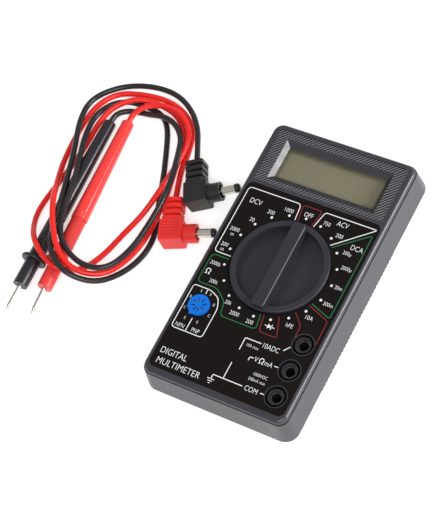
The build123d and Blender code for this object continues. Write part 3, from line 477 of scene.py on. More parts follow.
@dataclass(frozen=True)
class Ridged(Moulded):
    """Moulded plastic with fine ridges across a direction, painted darker as shade."""

    direction: Point3 = (0.0, 1.0, 0.0)
    origin: Point3 = (0.0, 0.0, 0.0)
    up: Point3 = (0.0, 0.0, 1.0)
    span: Point2 = (0.0, 1.0)
    pitch: float = 0.8
    ridge: float = 0.12
    least_up: float = -2.0
    side: Point3 = (1.0, 0.0, 0.0)
    side_span: Point2 = (-99.0, 99.0)

    def ridges(self, paint: Paint) -> Shade:
        """Ridges inside the ridged stretch.

        Args:
            paint: The finish's node tree.

        Returns:
            Their height, 0 to 1.
        """
        along = paint.along(self.direction, self.origin)
        across = paint.along(self.side, self.origin)
        wave = (along * (2 * math.pi / self.pitch)).sine() * 0.5 + 0.5
        held = along.between(*self.span, 0.08) * across.between(*self.side_span, 0.08)
        return wave * held * paint.facing(self.up).above(self.least_up, 0.1)

    def material(self) -> bpy.types.Material:
        """The finish as a material.

        Returns:
            The material.
        """
        paint = Paint(self.name)
        ridges = self.ridges(paint)
        height = self.relief(paint) * self.depth + ridges * self.ridge
        # the ridges are painted darker, as painted shade that stands in for their relief
        tone = paint.mix(ridges * 0.3, self.tone(paint), scaled(self.colour, 0.55))
        return paint.finish(Base_Color=tone, Roughness=self.rough(paint, 0.12),
                            Normal=paint.bump(height, 1.0), Specular_IOR_Level=self.specular)


@dataclass(frozen=True)
class Ink:
    """Screen-printed ink, slightly uneven and worn thin in specks."""

    name: str
    colour: Colour
    ground: Colour = srgb(30, 24, 24)

    def material(self) -> bpy.types.Material:
        """The finish as a material.

        Returns:
            The material.
        """
        paint = Paint(self.name)
        thin = paint.noise(0.5, 4.0).above(0.66, 0.1) * 0.35
        tone = paint.mix(thin, self.colour, self.ground)
        rough = 0.5 + (paint.noise(0.8) - 0.5) * 0.2
        normal = paint.bump(paint.noise(0.12, 2.0), 0.006)
        return paint.finish(Base_Color=tone, Roughness=rough, Normal=normal, Specular_IOR_Level=0.25)


@dataclass(frozen=True)
class Metal:
    """Plated or drawn metal with fine lines, dull patches and pin marks."""

    name: str
    colour: Colour
    roughness: float = 0.16
    stretch: Point3 = (1.0, 1.0, 6.0)
    tarnish: float = 0.25

    def material(self) -> bpy.types.Material:
        """The finish as a material.

        Returns:
            The material.
        """
        paint = Paint(self.name)
        lines = paint.noise(0.35, 3.0, self.stretch)
        patch = paint.noise(2.5, 4.0).above(0.58, 0.12)
        tone = paint.mix(patch * self.tarnish, self.colour, scaled(self.colour, 0.55))
        rough = self.roughness + lines * 0.1 + patch * 0.08
        normal = paint.bump(lines, 0.004)
        return paint.finish(Base_Color=tone, Roughness=rough, Normal=normal, Metallic=1.0)


@dataclass(frozen=True)
class LiquidCrystal:
    """Blank reflective display: grey-green, with painted shade towards its edges, where the case's opening shades
    it.
    """

    name: str = "liquid crystal"
    colour: Colour = srgb(132, 127, 104)
    middle: Point2 = (0.0, 44.9)     # middle of the opening in the case
    half: Point2 = (22.8, 7.2)       # half its width and height

    def material(self) -> bpy.types.Material:
        """The finish as a material.

        Returns:
            The material.
        """
        paint = Paint(self.name)
        x = paint.along((1, 0, 0), (*self.middle, 0)).size()
        y = paint.along((0, 1, 0), (*self.middle, 0)).size()
        # painted shade along the edges of the opening
        side_shade = x.above(self.half[0] - 0.6, 1.0)
        rim_shade = side_shade.maths("MAXIMUM", side_shade, y.above(self.half[1] - 0.5, 0.9))
        cloud = paint.mix(paint.noise(14.0, 2.0), scaled(self.colour, 0.93), scaled(self.colour, 1.06))
        tone = paint.mix(rim_shade * 0.45, cloud, scaled(self.colour, 0.5))
        normal = paint.bump(paint.noise(0.15, 2.0), 0.004)
        rough = 0.45 + (paint.noise(4.0) - 0.5) * 0.1
        return paint.finish(Base_Color=tone, Roughness=rough, Normal=normal, Specular_IOR_Level=0.3)


@dataclass(frozen=True)
class ClearSheet:
    """Clear sheet or tube, nearly invisible, with faint hairlines."""

    name: str
    tint: Colour = (0.05, 0.05, 0.045)
    alpha: float = 0.06

    def material(self) -> bpy.types.Material:
        """The finish as a material.

        Returns:
            The material.
        """
        paint = Paint(self.name)
        hair = paint.noise(0.4, 3.0, (0.2, 3.0, 1.0)).above(0.72, 0.05)
        tone = paint.mix(hair * 0.3, self.tint, scaled(self.tint, 4))
        return paint.finish(Base_Color=tone, Roughness=0.1 + hair * 0.2, Alpha=self.alpha + hair * 0.03,
                            Specular_IOR_Level=0.4)


class Weave(Enum):
    """What a flat inner part is striped or spotted with."""

    TRACES = "traces"
    STRIPES = "stripes"
    BANDS = "bands"


@dataclass(frozen=True)
class Patterned:
    """Two-tone inner part: board traces, rubber stripes or printed bands."""

    name: str
    colour: Colour
    second: Colour
    weave: Weave
    pitch: float = 2.0
    roughness: float = 0.4

    def mask(self, paint: Paint) -> Shade:
        """Where the second colour shows.

        Args:
            paint: The finish's node tree.

        Returns:
            The mask, 0 to 1.
        """
        if self.weave is Weave.TRACES:
            wander = paint.noise(6.0, 1.0, (1.0, 0.3, 1.0))
            return ((wander * 60).sine()).above(0.35, 0.1)
        axis = (1, 0, 0) if self.weave is Weave.STRIPES else (0, 1, 0)
        wave = (paint.along(axis) * (2 * math.pi / self.pitch)).sine()
        return wave.above(0.2, 0.1)

    def material(self) -> bpy.types.Material:
        """The finish as a material.

        Returns:
            The material.
        """
        paint = Paint(self.name)
        mask = self.mask(paint)
        cloud = paint.mix(paint.noise(5.0), scaled(self.colour, 0.85), scaled(self.colour, 1.15))
        normal = paint.bump(mask * 0.7 + paint.noise(0.3) * 0.3, 0.03)
        rough = self.roughness + (paint.noise(2.0) - 0.5) * 0.15
        return paint.finish(Base_Color=paint.mix(mask, cloud, self.second), Roughness=rough, Normal=normal)


@dataclass(frozen=True)
class Vinyl:
    """Glossy vinyl sleeve: soft ripple, faint blush and dust in its gloss."""

    name: str
    colour: Colour
    roughness: float = 0.28

    def material(self) -> bpy.types.Material:
        """The finish as a material.

        Returns:
            The material.
        """
        paint = Paint(self.name)
        blush = paint.noise(7.0, 3.0)
        tone = paint.mix(blush, scaled(self.colour, 0.86), scaled(self.colour, 1.1))
        dust = paint.noise(0.6, 4.0).above(0.68, 0.08)
        rough = self.roughness + dust * 0.22 + (paint.noise(4.0) - 0.5) * 0.1
        normal = paint.bump(paint.noise(1.2, 3.0), 0.03)
        return paint.finish(Base_Color=tone, Roughness=rough, Normal=normal, Specular_IOR_Level=0.5)


def dress(node: str, material: bpy.types.Material) -> None:
    """Give a CAD node its material.

    Args:
        node: The node's name.
        material: What it is dressed in.
    """
    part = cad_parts[node]
    part.data.materials.clear()
    part.data.materials.append(material)
    LOG.info("%s dressed in %s", node, material.name)


def piece(name: str, shape: bmesh.types.BMesh, material: bpy.types.Material,
          body: str = "meter") -> bpy.types.Object:
    """Turn a bmesh into a piece that rides a body.

    Args:
        name: The piece's name.
        shape: Its mesh, in metres; freed here.
        material: Its finish.
        body: The CAD body that it moves with.

    Returns:
        The new object.
    """
    mesh = bpy.data.meshes.new(name)
    shape.to_mesh(mesh)
    shape.free()
    mesh.materials.append(material)
    made = bpy.data.objects.new(name, mesh)
    bpy.context.scene.collection.objects.link(made)
    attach(made, body)
    LOG.info("%s made with %d faces", name, len(mesh.polygons))
    return made


# ------------------------------------------------------------------ face print
@dataclass
class Stroke:
    """Printed line through points, with round corners."""

    points: list[Point2]
    radius: float = 1.2
    width: float = 0.38
    closed: bool = False

    def path(self) -> list[Vector]:
        """Points of the line, corners rounded.

        Returns:
            The points, in millimetres.
        """
        corners = [Vector(point) for point in self.points]
        count = len(corners)
        line: list[Vector] = []
        for index, here in enumerate(corners):
            if not self.closed and index in (0, count - 1):
                line.append(here)
                continue
            before = corners[index - 1] - here
            after = corners[(index + 1) % count] - here
            reach = min(self.radius, before.length * 0.45, after.length * 0.45)
            start = here + before.normalized() * reach
            end = here + after.normalized() * reach
            for step in range(CORNER_STEPS + 1):
                share = step / CORNER_STEPS
                line.append(start.lerp(here, share).lerp(here.lerp(end, share), share))
        return line

    def add_to(self, shape: bmesh.types.BMesh, z: float) -> None:
        """Add the line to a mesh as a flat strip.

        Args:
            shape: The mesh.
            z: Its height, in millimetres.
        """
        line = self.path()
        count = len(line)
        rails: list[tuple[bmesh.types.BMVert, bmesh.types.BMVert]] = []
        for index, here in enumerate(line):
            if self.closed:
                before, after = line[index - 1], line[(index + 1) % count]
            else:
                before, after = line[max(index - 1, 0)], line[min(index + 1, count - 1)]
            run = (after - before).normalized()
            side = Vector((-run.y, run.x)) * self.width / 2
            rails.append(tuple(shape.verts.new((p.x * MM, p.y * MM, z * MM)) for p in (here + side, here - side)))
        last = count if self.closed else count - 1
        for index in range(last):
            (a, b), (c, d) = rails[index], rails[(index + 1) % count]
            shape.faces.new((a, b, d, c))


@dataclass
class Word:
    """Printed word: its letters, middle, height of its capitals and width share."""

    letters: str
    middle: Point2
    height: float = 1.9
    narrow: float = 0.86
    bold: float = -0.01

    def add_to(self, shape: bmesh.types.BMesh, z: float) -> None:
        """Add the word's letters to a mesh.

        Args:
            shape: The mesh.
            z: Their height, in millimetres.
        """
        curve = bpy.data.curves.new("word", "FONT")
        curve.body = self.letters
        curve.resolution_u = 3
        curve.offset = self.bold
        holder = bpy.data.objects.new("word", curve)
        bpy.context.scene.collection.objects.link(holder)
        bpy.context.view_layer.update()
        mesh = bpy.data.meshes.new_from_object(holder)
        xs = [vertex.co.x for vertex in mesh.vertices]
        size = self.height / CAPITAL
        shift = Vector((-(min(xs) + max(xs)) / 2, -CAPITAL / 2, 0))
        spread = Matrix.Diagonal((size * self.narrow * MM, size * MM, MM, 1))
        place = Matrix.Translation((self.middle[0] * MM, self.middle[1] * MM, z * MM))
        mesh.transform(place @ spread @ Matrix.Translation(shift))
        shape.from_mesh(mesh)
        bpy.data.objects.remove(holder)
        bpy.data.curves.remove(curve)
        bpy.data.meshes.remove(mesh)


@dataclass
class FacePrint:
    """Everything that is printed on the face label."""

    z: float = field(default_factory=lambda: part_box("face_label")[1][2] / MM + PRINT_LIFT)
    dot_circle: float = 23.5
    dot_radius: float = 0.55
    dots: int = 20
    white_lines: list[Stroke] = field(default_factory=lambda: [
        Stroke([(-4.2, 21.3), (-5.0, 28.8), (-29.5, 28.8), (-29.5, -3.0), (-21.6, -3.0)], 1.7),
        Stroke([(4.5, 21.2), (6.3, 28.8), (30.0, 28.8), (14.8, 16.0)], 1.2),
        Stroke([(-30.0, -20.6), (-30.0, -39.7), (-15.5, -39.7), (-15.5, -26.0), (-17.4, -21.6),
                (-22.0, -19.6), (-29.4, -19.6), (-30.0, -20.4)], 1.6),
        Stroke([(-23.3, -19.6), (-23.3, -21.9)]),
        Stroke([(-23.3, -33.4), (-23.3, -39.7)]),
        Stroke([(1.4, -38.5), (1.4, -33.0), (8.7, -33.0)], 0.5),
        Stroke([(18.3, -32.5), (20.3, -30.0)]),
        Stroke([(7.0, -41.3), (7.0, -39.7), (8.7, -39.7)], 1.0),
        Stroke([(18.1, -39.7), (19.8, -39.7)]),
        Stroke([(18.1, -52.0), (19.8, -52.0)]),
        Stroke([(-3.4, -54.0), (-3.4, -52.0), (10.0, -52.0)], 0.4),
        Stroke([(1.2, -52.0), (1.2, -44.5)]),
        Stroke([(-5.0, -54.0), (-1.8, -54.0)], width=0.3),
        Stroke([(-4.4, -54.9), (-2.4, -54.9)], width=0.3),
        Stroke([(-3.8, -55.8), (-3.0, -55.8)], width=0.3),
    ])
    red_lines: list[Stroke] = field(default_factory=lambda: [
        Stroke([(-2.8, 21.2), (-3.9, 28.8), (4.9, 28.8), (3.6, 21.2)], 1.5),
        Stroke([(19.0, -11.0), (29.2, -14.7), (29.2, -25.5)], 1.4),
        Stroke([(15.2, -15.7), (19.9, -20.3), (20.0, -25.5)], 1.2),
        Stroke([(3.8, -21.3), (5.2, -28.6), (13.2, -28.6), (10.0, -20.0)], 1.2),
    ])
    green_lines: list[Stroke] = field(default_factory=lambda: [
        Stroke([(15.8, 15.3), (29.3, 26.0), (29.3, -13.4), (19.7, -10.0)], 1.3),
        Stroke([(-21.5, -4.5), (-29.5, -4.5), (-29.5, -17.9), (-20.0, -17.9), (-14.2, -22.3),
                (-13.2, -28.3), (3.6, -28.3), (2.3, -21.7)], 2.0),
    ])
    words: list[Word] = field(default_factory=lambda: [
        Word("DCV", (-23.5, 23.5), 2.5, 0.8), Word("1000", (-8.4, 24.6)), Word("200", (-15.2, 21.2)),
        Word("20", (-21.2, 15.4)), Word("2000", (-26.0, 8.9)), Word("m", (-26.0, 6.6), 1.9),
        Word("200", (-26.7, 1.2)), Word("m", (-26.7, -1.0), 1.9), Word("2000k", (-26.1, -8.0), 1.8, 0.8),
        Word("200k", (-22.9, -15.6), 1.8, 0.82), Word("20k", (-12.6, -21.8), 1.8, 0.82),
        Word("2000", (-8.0, -25.2)), Word("200", (-0.4, -26.2)), Word("hFE", (15.6, -21.8)),
        Word("10A", (21.6, -15.9)), Word("200m", (26.0, -8.0), 1.8, 0.8), Word("20m", (26.6, 0.1), 1.8, 0.8),
        Word("2000µ", (25.8, 8.9), 1.8, 0.76), Word("200µ", (23.0, 15.2), 1.8, 0.78),
        Word("DCA", (25.9, 18.4), 2.4, 0.8), Word("200", (16.5, 21.2)), Word("ACV", (15.6, 26.3), 2.4, 0.8),
        Word("750", (9.2, 24.4)), Word("OFF", (0.3, 25.4), 2.2, 0.78),
        Word("NPN", (-26.7, -37.9), 1.9, 0.8), Word("PNP", (-19.4, -37.9), 1.9, 0.8),
        Word("E", (-25.5, -21.2), 1.2), Word("E", (-21.1, -21.3), 1.2), Word("B", (-28.6, -25.0), 1.3),
        Word("C", (-28.6, -30.2), 1.3), Word("E", (-26.3, -34.3), 1.3), Word("B", (-17.6, -25.0), 1.3),
        Word("C", (-17.3, -30.0), 1.3), Word("E", (-20.5, -34.3), 1.3),
        Word("10ADC", (13.3, -33.2), 2.3, 0.8), Word("V", (9.9, -39.7), 2.3, 0.8),
        Word("mA", (15.6, -39.7), 2.3, 0.78), Word("COM", (14.0, -52.0), 2.3, 0.82),
        Word("10A max", (6.0, -35.4), 1.35, 0.85), Word("1000VDC", (14.9, -45.5), 1.4, 0.85),
        Word("200mA max", (14.4, -47.9), 1.4, 0.8),
        Word("DIGITAL", (-22.6, -50.0), 2.9, 0.84), Word("MULTIMETER", (-18.2, -54.6), 2.9, 0.88),
    ])

    def omega(self, shape: bmesh.types.BMesh, middle: Point2, height: float) -> None:
        """Ohm sign, drawn as an open ring on two feet.

        Args:
            shape: The mesh.
            middle: Its middle, in millimetres.
            height: Its height.
        """
        radius = height * 0.4
        x, y = middle[0], middle[1] + height * 0.1
        ring = [(x + radius * math.sin(math.radians(a)), y + radius * math.cos(math.radians(a)))
                for a in range(-145, 146, 29)]
        foot = y - height * 0.58
        ends = [(x - radius * 1.15, foot), (x - radius * 0.45, foot)]
        mirrored = [(2 * x - px, py) for px, py in reversed(ends)]
        Stroke([*ends, *ring, *mirrored], 0.2, height * 0.15).add_to(shape, self.z)

    def diode(self, shape: bmesh.types.BMesh, middle: Point2) -> None:
        """Diode sign: wire, arrow head and bar.

        Args:
            shape: The mesh.
            middle: Its middle, in millimetres.
        """
        x, y = middle
        Stroke([(x - 2.2, y), (x + 2.2, y)], width=0.3).add_to(shape, self.z)
        Stroke([(x + 0.8, y + 1.1), (x + 0.8, y - 1.1)], width=0.35).add_to(shape, self.z)
        corners = [(x - 0.9, y + 1.1), (x - 0.9, y - 1.1), (x + 0.7, y)]
        shape.faces.new([shape.verts.new((px * MM, py * MM, (self.z + 0.01) * MM)) for px, py in corners])

    def build(self) -> None:
        """Make the three colours of print."""
        white = bmesh.new()
        for stroke in self.white_lines:
            stroke.add_to(white, self.z)
        for word in self.words:
            word.add_to(white, self.z)
        self.omega(white, (-27.3, -12.2), 2.4)
        self.omega(white, (12.3, -39.7), 2.3)
        self.diode(white, (8.3, -25.2))
        for index in range(self.dots):
            turn = 2 * math.pi * index / self.dots
            middle = Matrix.Translation((self.dot_circle * math.sin(turn) * MM,
                                         self.dot_circle * math.cos(turn) * MM, self.z * MM))
            bmesh.ops.create_circle(white, cap_ends=True, segments=DOT_SIDES,
                                  radius=self.dot_radius * MM, matrix=middle)
        piece("print_white", white, Ink("white ink", srgb(236, 236, 236)).material())
        for name, lines, ink in (("print_red", self.red_lines, Ink("red ink", srgb(128, 38, 40))),
                                 ("print_green", self.green_lines, Ink("green ink", srgb(38, 112, 66)))):
            shape = bmesh.new()
            for stroke in lines:
                stroke.add_to(shape, self.z)
            piece(name, shape, ink.material())


# ------------------------------------------------------------------ the meter
@dataclass
class Meter:
    """The meter's own parts, outside and in."""

    charcoal: Colour = srgb(44, 43, 51)
    black: Colour = srgb(20, 15, 15)
    jacks: tuple[str, ...] = ("input_jack_10a", "input_jack_volts", "input_jack_common")

    def jack_middles(self) -> tuple[Point2, ...]:
        """Middle of each input socket, seen from above.

        Returns:
            Their places, in millimetres.
        """
        boxes = [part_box(jack) for jack in self.jacks]
        return tuple(((low[0] + high[0]) / 2 / MM, (low[1] + high[1]) / 2 / MM) for low, high in boxes)

    def dress_outside(self) -> None:
        """Case, label, display, dial and sockets."""
        shell = CaseShell("case plastic", self.charcoal, roughness=0.36, depth=0.01, specular=0.75,
                          wells=self.jack_middles())
        dress("front_case", shell.material())
        dress("rear_cover", Moulded("rear plastic", self.charcoal, roughness=0.42, depth=0.014,
                                   specular=0.75).material())
        label = Moulded("label film", self.black, roughness=0.45, grain=0.12, depth=0.004, mottle=0.08,
                        edge=0.1, specular=0.12)
        dress("face_label", label.material())
        dial = Moulded("dial plastic", scaled(self.charcoal, 0.85), roughness=0.38, grain=0.18, depth=0.008,
                       edge=0.3, specular=0.5)
        dress("range_dial", dial.material())
        dress("display_window", ClearSheet("display window").material())
        dress("lcd_glass", LiquidCrystal().material())
        blue = Moulded("socket plastic", srgb(0, 108, 208), roughness=0.4, depth=0.006, edge=0.12, specular=0.3)
        dress("transistor_socket", blue.material())
        nickel = Metal("jack nickel", (0.2, 0.19, 0.17), 0.34).material()
        for jack in self.jacks:
            dress(jack, nickel)

    def dress_inside(self) -> None:
        """Board, its parts, battery and screws."""
        steel = Metal("spring steel", (0.6, 0.6, 0.61), 0.2).material()
        brass = Metal("contact brass", (0.72, 0.52, 0.24), 0.25).material()
        zinc = Metal("screw zinc", (0.42, 0.42, 0.43), 0.3).material()
        tin = Metal("tinned track", (0.7, 0.55, 0.4), 0.3, tarnish=0.4).material()
        white = Moulded("frame plastic", (0.6, 0.59, 0.55), edge=0.1).material()
        looks = {
            "lcd_frame": white, "detent_balls": steel, "detent_springs": steel, "fuse_caps": steel,
            "battery_terminals": steel, "contact_wipers": brass, "fuse_clips": brass, "socket_contacts": brass,
            "shunt_wire": tin, "switch_tracks": tin, "case_screws": zinc, "board_screws": zinc,
            "zebra_strip": Patterned("zebra rubber", (0.5, 0.5, 0.5), (0.03, 0.03, 0.03),
                                     Weave.STRIPES, 0.4).material(),
            "circuit_board": Patterned("board laminate", (0.1, 0.17, 0.05), (0.16, 0.28, 0.09),
                                       Weave.TRACES).material(),
            "battery": Patterned("battery jacket", (0.03, 0.03, 0.035), (0.5, 0.28, 0.05),
                                 Weave.BANDS, 60.0).material(),
            "resistors": Patterned("resistor lacquer", (0.3, 0.45, 0.55), (0.35, 0.1, 0.03),
                                   Weave.BANDS, 1.6).material(),
            "capacitors": Moulded("capacitor dip", (0.3, 0.05, 0.03), coat=0.4).material(),
            "trimmer": Moulded("trimmer body", (0.05, 0.12, 0.42)).material(),
            "chip_blob": Moulded("black epoxy", (0.012, 0.012, 0.013), roughness=0.2).material(),
            "fuse_glass": ClearSheet("fuse glass", alpha=0.3).material(),
            "battery_snap": Moulded("snap vinyl", (0.02, 0.02, 0.02)).material(),
            "battery_wire_red": Vinyl("thin red sleeve", (0.6, 0.02, 0.015)).material(),
            "battery_wire_black": Vinyl("thin black sleeve", (0.015, 0.015, 0.015)).material(),
        }
        for node, material in looks.items():
            dress(node, material)


# ------------------------------------------------------------------ test leads
@dataclass
class LeadColours:
    """Vinyl, moulding and grip colours of one lead."""

    cord: Colour
    block: Colour
    handle: Colour


class LeadColour(Enum):
    """The two leads."""

    BLACK = LeadColours(srgb(34, 31, 33), srgb(30, 27, 28), srgb(34, 32, 38))
    RED = LeadColours(srgb(238, 32, 26), srgb(240, 40, 34), srgb(240, 58, 54))


@dataclass
class TestLead:
    """One test lead: plug, cord and probe."""

    colour: LeadColour
    route: list[Point3]
    length: float
    plug_turn: Point2
    probe_turn: float
    diameter: float = 2.6
    relief: float = 16.2
    probe_rise: float = 2.28
    joint: float = 52.2
    grip: float = 22.0

    @property
    def name(self) -> str:
        """The lead's colour as a word."""
        return self.colour.name.lower()

    def plug_axes(self) -> tuple[Vector, Vector, Vector, Vector]:
        """Where the plug lies.

        Returns:
            The middle of its block, and its pin, cord and upward directions.
        """
        heading, roll = (math.radians(angle) for angle in self.plug_turn)
        turn = (Matrix.Rotation(heading, 3, "Z") @ Matrix.Rotation(-roll, 3, "Y"))
        pin, cord, up = (turn @ Vector(axis) for axis in ((1, 0, 0), (0, 1, 0), (0, 0, 1)))
        return Vector(self.route[0]) - cord * self.relief, pin, cord, up

    def probe_axis(self) -> tuple[Vector, Vector]:
        """Where the probe lies.

        Returns:
            The middle of its rear face, and the direction to its needle.
        """
        turn = Matrix.Rotation(math.radians(self.probe_turn), 3, "Z")
        turn = turn @ Matrix.Rotation(math.radians(-self.probe_rise), 3, "X")
        return Vector(self.route[-1]), turn @ Vector((0, -1, 0))

    def lay_cord(self) -> bpy.types.Object:
        """Lay the cord along its route.

        Returns:
            The cord.
        """
        curve = bpy.data.curves.new(f"lead_cord_{self.name}", "CURVE")
        curve.dimensions = "3D"
        curve.resolution_u = 12
        curve.bevel_depth = self.diameter / 2 * MM
        curve.bevel_resolution = 5
        curve.use_fill_caps = True
        spline = curve.splines.new("NURBS")
        spline.points.add(len(self.route) - 1)
        for control, (x, y, z) in zip(spline.points, self.route):
            control.co = (x * MM, y * MM, z * MM, 1.0)
        spline.order_u = 3
        spline.use_endpoint_u = True
        curve.materials.append(Vinyl(f"{self.name} cord vinyl", self.colour.value.cord).material())
        cord = bpy.data.objects.new(curve.name, curve)
        bpy.context.scene.collection.objects.link(cord)
        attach(cord, "meter")
        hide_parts(f"cord_{self.name}")
        f"lead_{self.name}"
        ends = ("plug_body", "plug_pin", "plug_tip", "probe_barrel", "probe_grip", "probe_needle")
        [value * MM for value in self.route[0]]
        self.diameter * MM
        [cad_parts[f"{end}_{self.name}"] for end in ends]
        LOG.info("%s laid through %d points", cord.name, len(self.route))
        return cord

    def dress_ends(self) -> None:
        """Dress the plug and the probe."""
        look = self.colour.value
        middle, pin, cord, up = self.plug_axes()
        body = Ridged(f"{self.name} plug vinyl", look.block, roughness=0.42, depth=0.012, edge=0.15,
                      direction=tuple(cord), origin=tuple(middle), up=tuple(up), span=(-3.1, 3.6),
                      pitch=1.45, ridge=0.2, least_up=0.8, side=tuple(pin), side_span=(-3.2, 4.4))
        dress(f"plug_body_{self.name}", body.material())
        nickel = Metal(f"{self.name} pin nickel", (0.78, 0.74, 0.66), 0.12).material()
        dress(f"plug_pin_{self.name}", nickel)
        tip = Moulded(f"{self.name} pin cap", srgb(34, 32, 33), roughness=0.35).material()
        dress(f"plug_tip_{self.name}", tip)
        rear, ahead = self.probe_axis()
        barrel = Ridged(f"{self.name} barrel", look.handle, roughness=0.2, depth=0.004, mottle=0.06, edge=0.1,
                        direction=tuple(ahead), origin=tuple(rear), span=(self.joint - 3.2, self.joint - 0.3),
                        pitch=0.75, ridge=0.14)
        dress(f"probe_barrel_{self.name}", barrel.material())
        grip = Ridged(f"{self.name} grip", scaled(look.handle, 0.86), roughness=0.36, depth=0.006, edge=0.1,
                      direction=tuple(ahead), origin=tuple(rear), span=(self.joint, self.joint + self.grip - 2),
                      pitch=1.0, ridge=0.3)
        dress(f"probe_grip_{self.name}", grip.material())
        dress(f"probe_needle_{self.name}", nickel)


BLACK_LEAD = TestLead(LeadColour.BLACK, [
    (-65.8, 38.1, 5.6), (-70.0, 46.0, 5.2), (-75.0, 55.0, 4.2), (-83.5, 63.3, 2.4),
    (-95.0, 69.0, 1.3), (-109.0, 68.6, 1.3), (-122.4, 63.4, 1.3), (-131.2, 52.4, 3.0),
    (-129.4, 40.0, 4.7), (-123.3, 26.0, 5.6), (-117.6, 12.0, 8.2), (-112.6, -1.0, 10.3),
    (-110.2, -12.0, 10.2), (-105.0, -22.4, 12.7), (-98.3, -29.0, 13.4), (-89.5, -31.6, 10.4),
    (-80.0, -28.6, 5.0), (-72.8, -19.5, 2.0), (-68.3, -8.5, 1.3), (-68.6, 3.0, 1.3),
    (-74.4, 15.0, 1.3), (-78.8, 27.5, 1.3), (-84.6, 41.0, 1.3), (-90.0, 52.0, 1.3),
    (-96.2, 57.2, 1.3), (-105.0, 58.2, 1.3), (-114.0, 58.0, 1.3), (-121.2, 54.2, 1.5),
    (-125.2, 45.5, 2.4), (-122.6, 33.5, 4.8), (-117.0, 21.0, 7.8), (-111.9, 9.0, 10.1),
    (-109.3, -3.0, 10.4), (-105.8, -14.6, 10.5), (-97.0, -21.9, 10.7), (-87.0, -25.2, 10.2),
    (-76.5, -22.6, 9.2), (-71.0, -10.5, 8.8), (-69.4, 3.0, 9.6), (-68.6, 15.5, 10.7),
    (-71.5, 28.0, 9.2), (-75.3, 39.0, 7.6), (-79.5, 47.8, 4.6), (-86.0, 53.6, 4.0),
    (-93.0, 54.9, 4.4), (-100.0, 54.5, 2.5), (-106.5, 54.4, 1.3), (-112.2, 53.0, 1.8),
    (-116.2, 49.1, 2.7), (-115.9, 44.6, 2.85),
], 540.9, (28.0, 8.0), 3.2)

RED_LEAD = TestLead(LeadColour.RED, [
    (-66.3, 18.7, 5.0), (-69.2, 25.8, 4.2), (-73.0, 34.5, 2.0), (-74.6, 44.5, 1.3),
    (-77.5, 54.2, 1.3), (-86.0, 61.4, 1.3), (-97.5, 64.4, 1.3), (-110.5, 63.2, 1.3),
    (-121.5, 59.8, 1.3), (-127.8, 51.0, 1.3), (-129.0, 39.5, 1.3), (-128.2, 28.0, 1.6),
    (-126.0, 17.5, 3.2), (-121.4, 7.5, 6.6), (-115.6, -2.5, 12.0), (-108.5, -13.5, 13.8),
    (-99.5, -24.6, 13.3), (-90.0, -28.5, 8.8), (-78.6, -24.6, 5.6), (-72.8, -14.5, 4.4),
    (-70.2, -3.0, 4.2), (-70.7, 9.5, 4.2), (-72.9, 20.8, 1.9), (-76.0, 32.5, 1.3),
    (-77.8, 43.5, 1.3), (-81.0, 52.3, 1.3), (-89.0, 59.0, 1.3), (-99.5, 61.2, 1.9),
    (-109.5, 59.2, 4.6), (-118.6, 51.4, 4.0), (-121.8, 42.0, 1.8), (-121.6, 31.0, 1.3),
    (-122.6, 19.0, 1.3), (-124.4, 7.0, 1.3), (-125.4, -4.5, 1.8), (-122.0, -13.5, 5.0),
    (-114.8, -21.8, 10.6), (-105.5, -28.4, 11.5), (-96.6, -30.8, 10.1), (-89.3, -25.4, 4.2),
    (-85.0, -14.5, 2.2), (-82.4, -2.5, 1.4), (-78.6, 8.5, 2.0), (-76.2, 18.5, 4.2),
    (-75.2, 30.0, 4.4), (-74.9, 41.0, 4.2), (-77.0, 51.5, 4.1), (-84.6, 58.4, 4.2),
    (-93.5, 60.2, 4.6), (-100.8, 58.2, 4.7), (-105.4, 54.6, 4.6), (-108.2, 51.2, 2.8),
    (-107.8, 47.3, 2.85),
], 554.8, (22.4, 0.0), 5.2)


# ------------------------------------------------------------------ studio
@dataclass
class Lamp:
    """Soft rectangular light."""

    name: str
    place: Point3
    aim: Point3
    size: Point2
    power: float

    def build(self) -> None:
        """Hang the light."""
        light = bpy.data.lights.new(self.name, "AREA")
        light.shape = "RECTANGLE"
        light.size, light.size_y = self.size
        light.energy = self.power
        holder = bpy.data.objects.new(self.name, light)
        holder.location = self.place
        holder.rotation_euler = (Vector(self.aim) - Vector(self.place)).to_track_quat("-Z", "Y").to_euler()
        bpy.context.scene.collection.objects.link(holder)


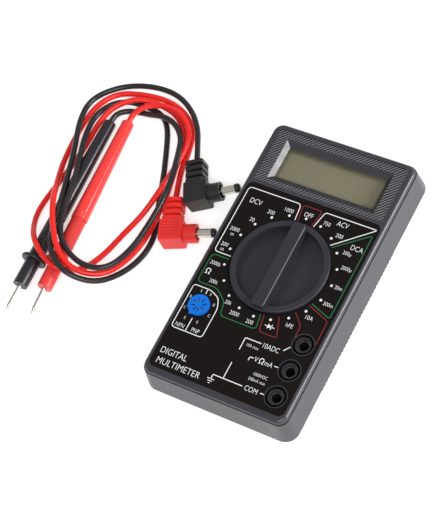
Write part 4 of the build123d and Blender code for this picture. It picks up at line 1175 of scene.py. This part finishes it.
@dataclass
class Studio:
    """Pale table, soft light and camera."""

    camera_place: Point3 = (0.28014, -0.23207, 0.63981)
    camera_aim: Point3 = (-0.027444, -0.005575, 0.020)
    camera_roll: float = 28.87
    lens: float = 123.2
    lamps: list[Lamp] = field(default_factory=lambda: [
        Lamp("front", (0.45, -0.55, 1.0), (0.0, 0.0, 0.0), (0.7, 0.5), 7.0),
        Lamp("right side", (0.85, 0.32, 0.42), (0.0, 0.0, 0.01), (0.45, 0.35), 9.0),
    ])

    def set_camera(self) -> None:
        """Make the camera."""
        data = bpy.data.cameras.new("camera")
        data.lens = self.lens
        data.sensor_width = 36.0
        data.clip_start, data.clip_end = 0.01, 60.0
        camera = bpy.data.objects.new("camera", data)
        aim = (Vector(self.camera_aim) - Vector(self.camera_place)).normalized()
        camera.rotation_mode = "QUATERNION"
        camera.location = self.camera_place
        tilt = Matrix.Rotation(math.radians(-self.camera_roll), 3, "Z").to_quaternion()
        camera.rotation_quaternion = aim.to_track_quat("-Z", "Y") @ tilt
        bpy.context.scene.collection.objects.link(camera)
        bpy.context.scene.camera = camera

    def set_table(self) -> None:
        """Make the pale table."""
        shape = bmesh.new()
        bmesh.ops.create_grid(shape, x_segments=8, y_segments=8, size=30.0,
                              matrix=Matrix.Translation((0, 0, -0.0002)))
        mesh = bpy.data.meshes.new("table")
        shape.to_mesh(mesh)
        shape.free()
        paint = Paint("table paper")
        tone = paint.mix(paint.noise(60.0, 2.0), (0.9, 0.9, 0.9), (0.93, 0.93, 0.93))
        mesh.materials.append(paint.finish(
            Base_Color=tone, Roughness=0.9, Specular_IOR_Level=0.0,
            Emission_Color=(1.0, 1.0, 1.0), Emission_Strength=0.5))
        table = bpy.data.objects.new("table", mesh)
        bpy.context.scene.collection.objects.link(table)

    def set_light(self) -> None:
        """Light the room evenly and hang the lamps."""
        world = bpy.data.worlds.new("studio")
        world.use_nodes = True
        sky = world.node_tree.nodes["Background"]
        sky.inputs["Color"].default_value = (1.0, 1.0, 1.0, 1.0)
        sky.inputs["Strength"].default_value = 0.45
        bpy.context.scene.world = world
        bpy.context.scene.view_settings.view_transform = "Standard"
        for lamp in self.lamps:
            lamp.build()


def main() -> None:
    """Build every piece in order."""
    logging.basicConfig(level=logging.INFO, format="%(name)s: %(message)s")
    studio = Studio()
    studio.set_camera()
    for lead in (BLACK_LEAD, RED_LEAD):
        lead.lay_cord()
        lead.dress_ends()
    meter = Meter()
    meter.dress_outside()
    meter.dress_inside()
    FacePrint().build()
    studio.set_table()
    studio.set_light()


if __name__ == "__main__":
    main()
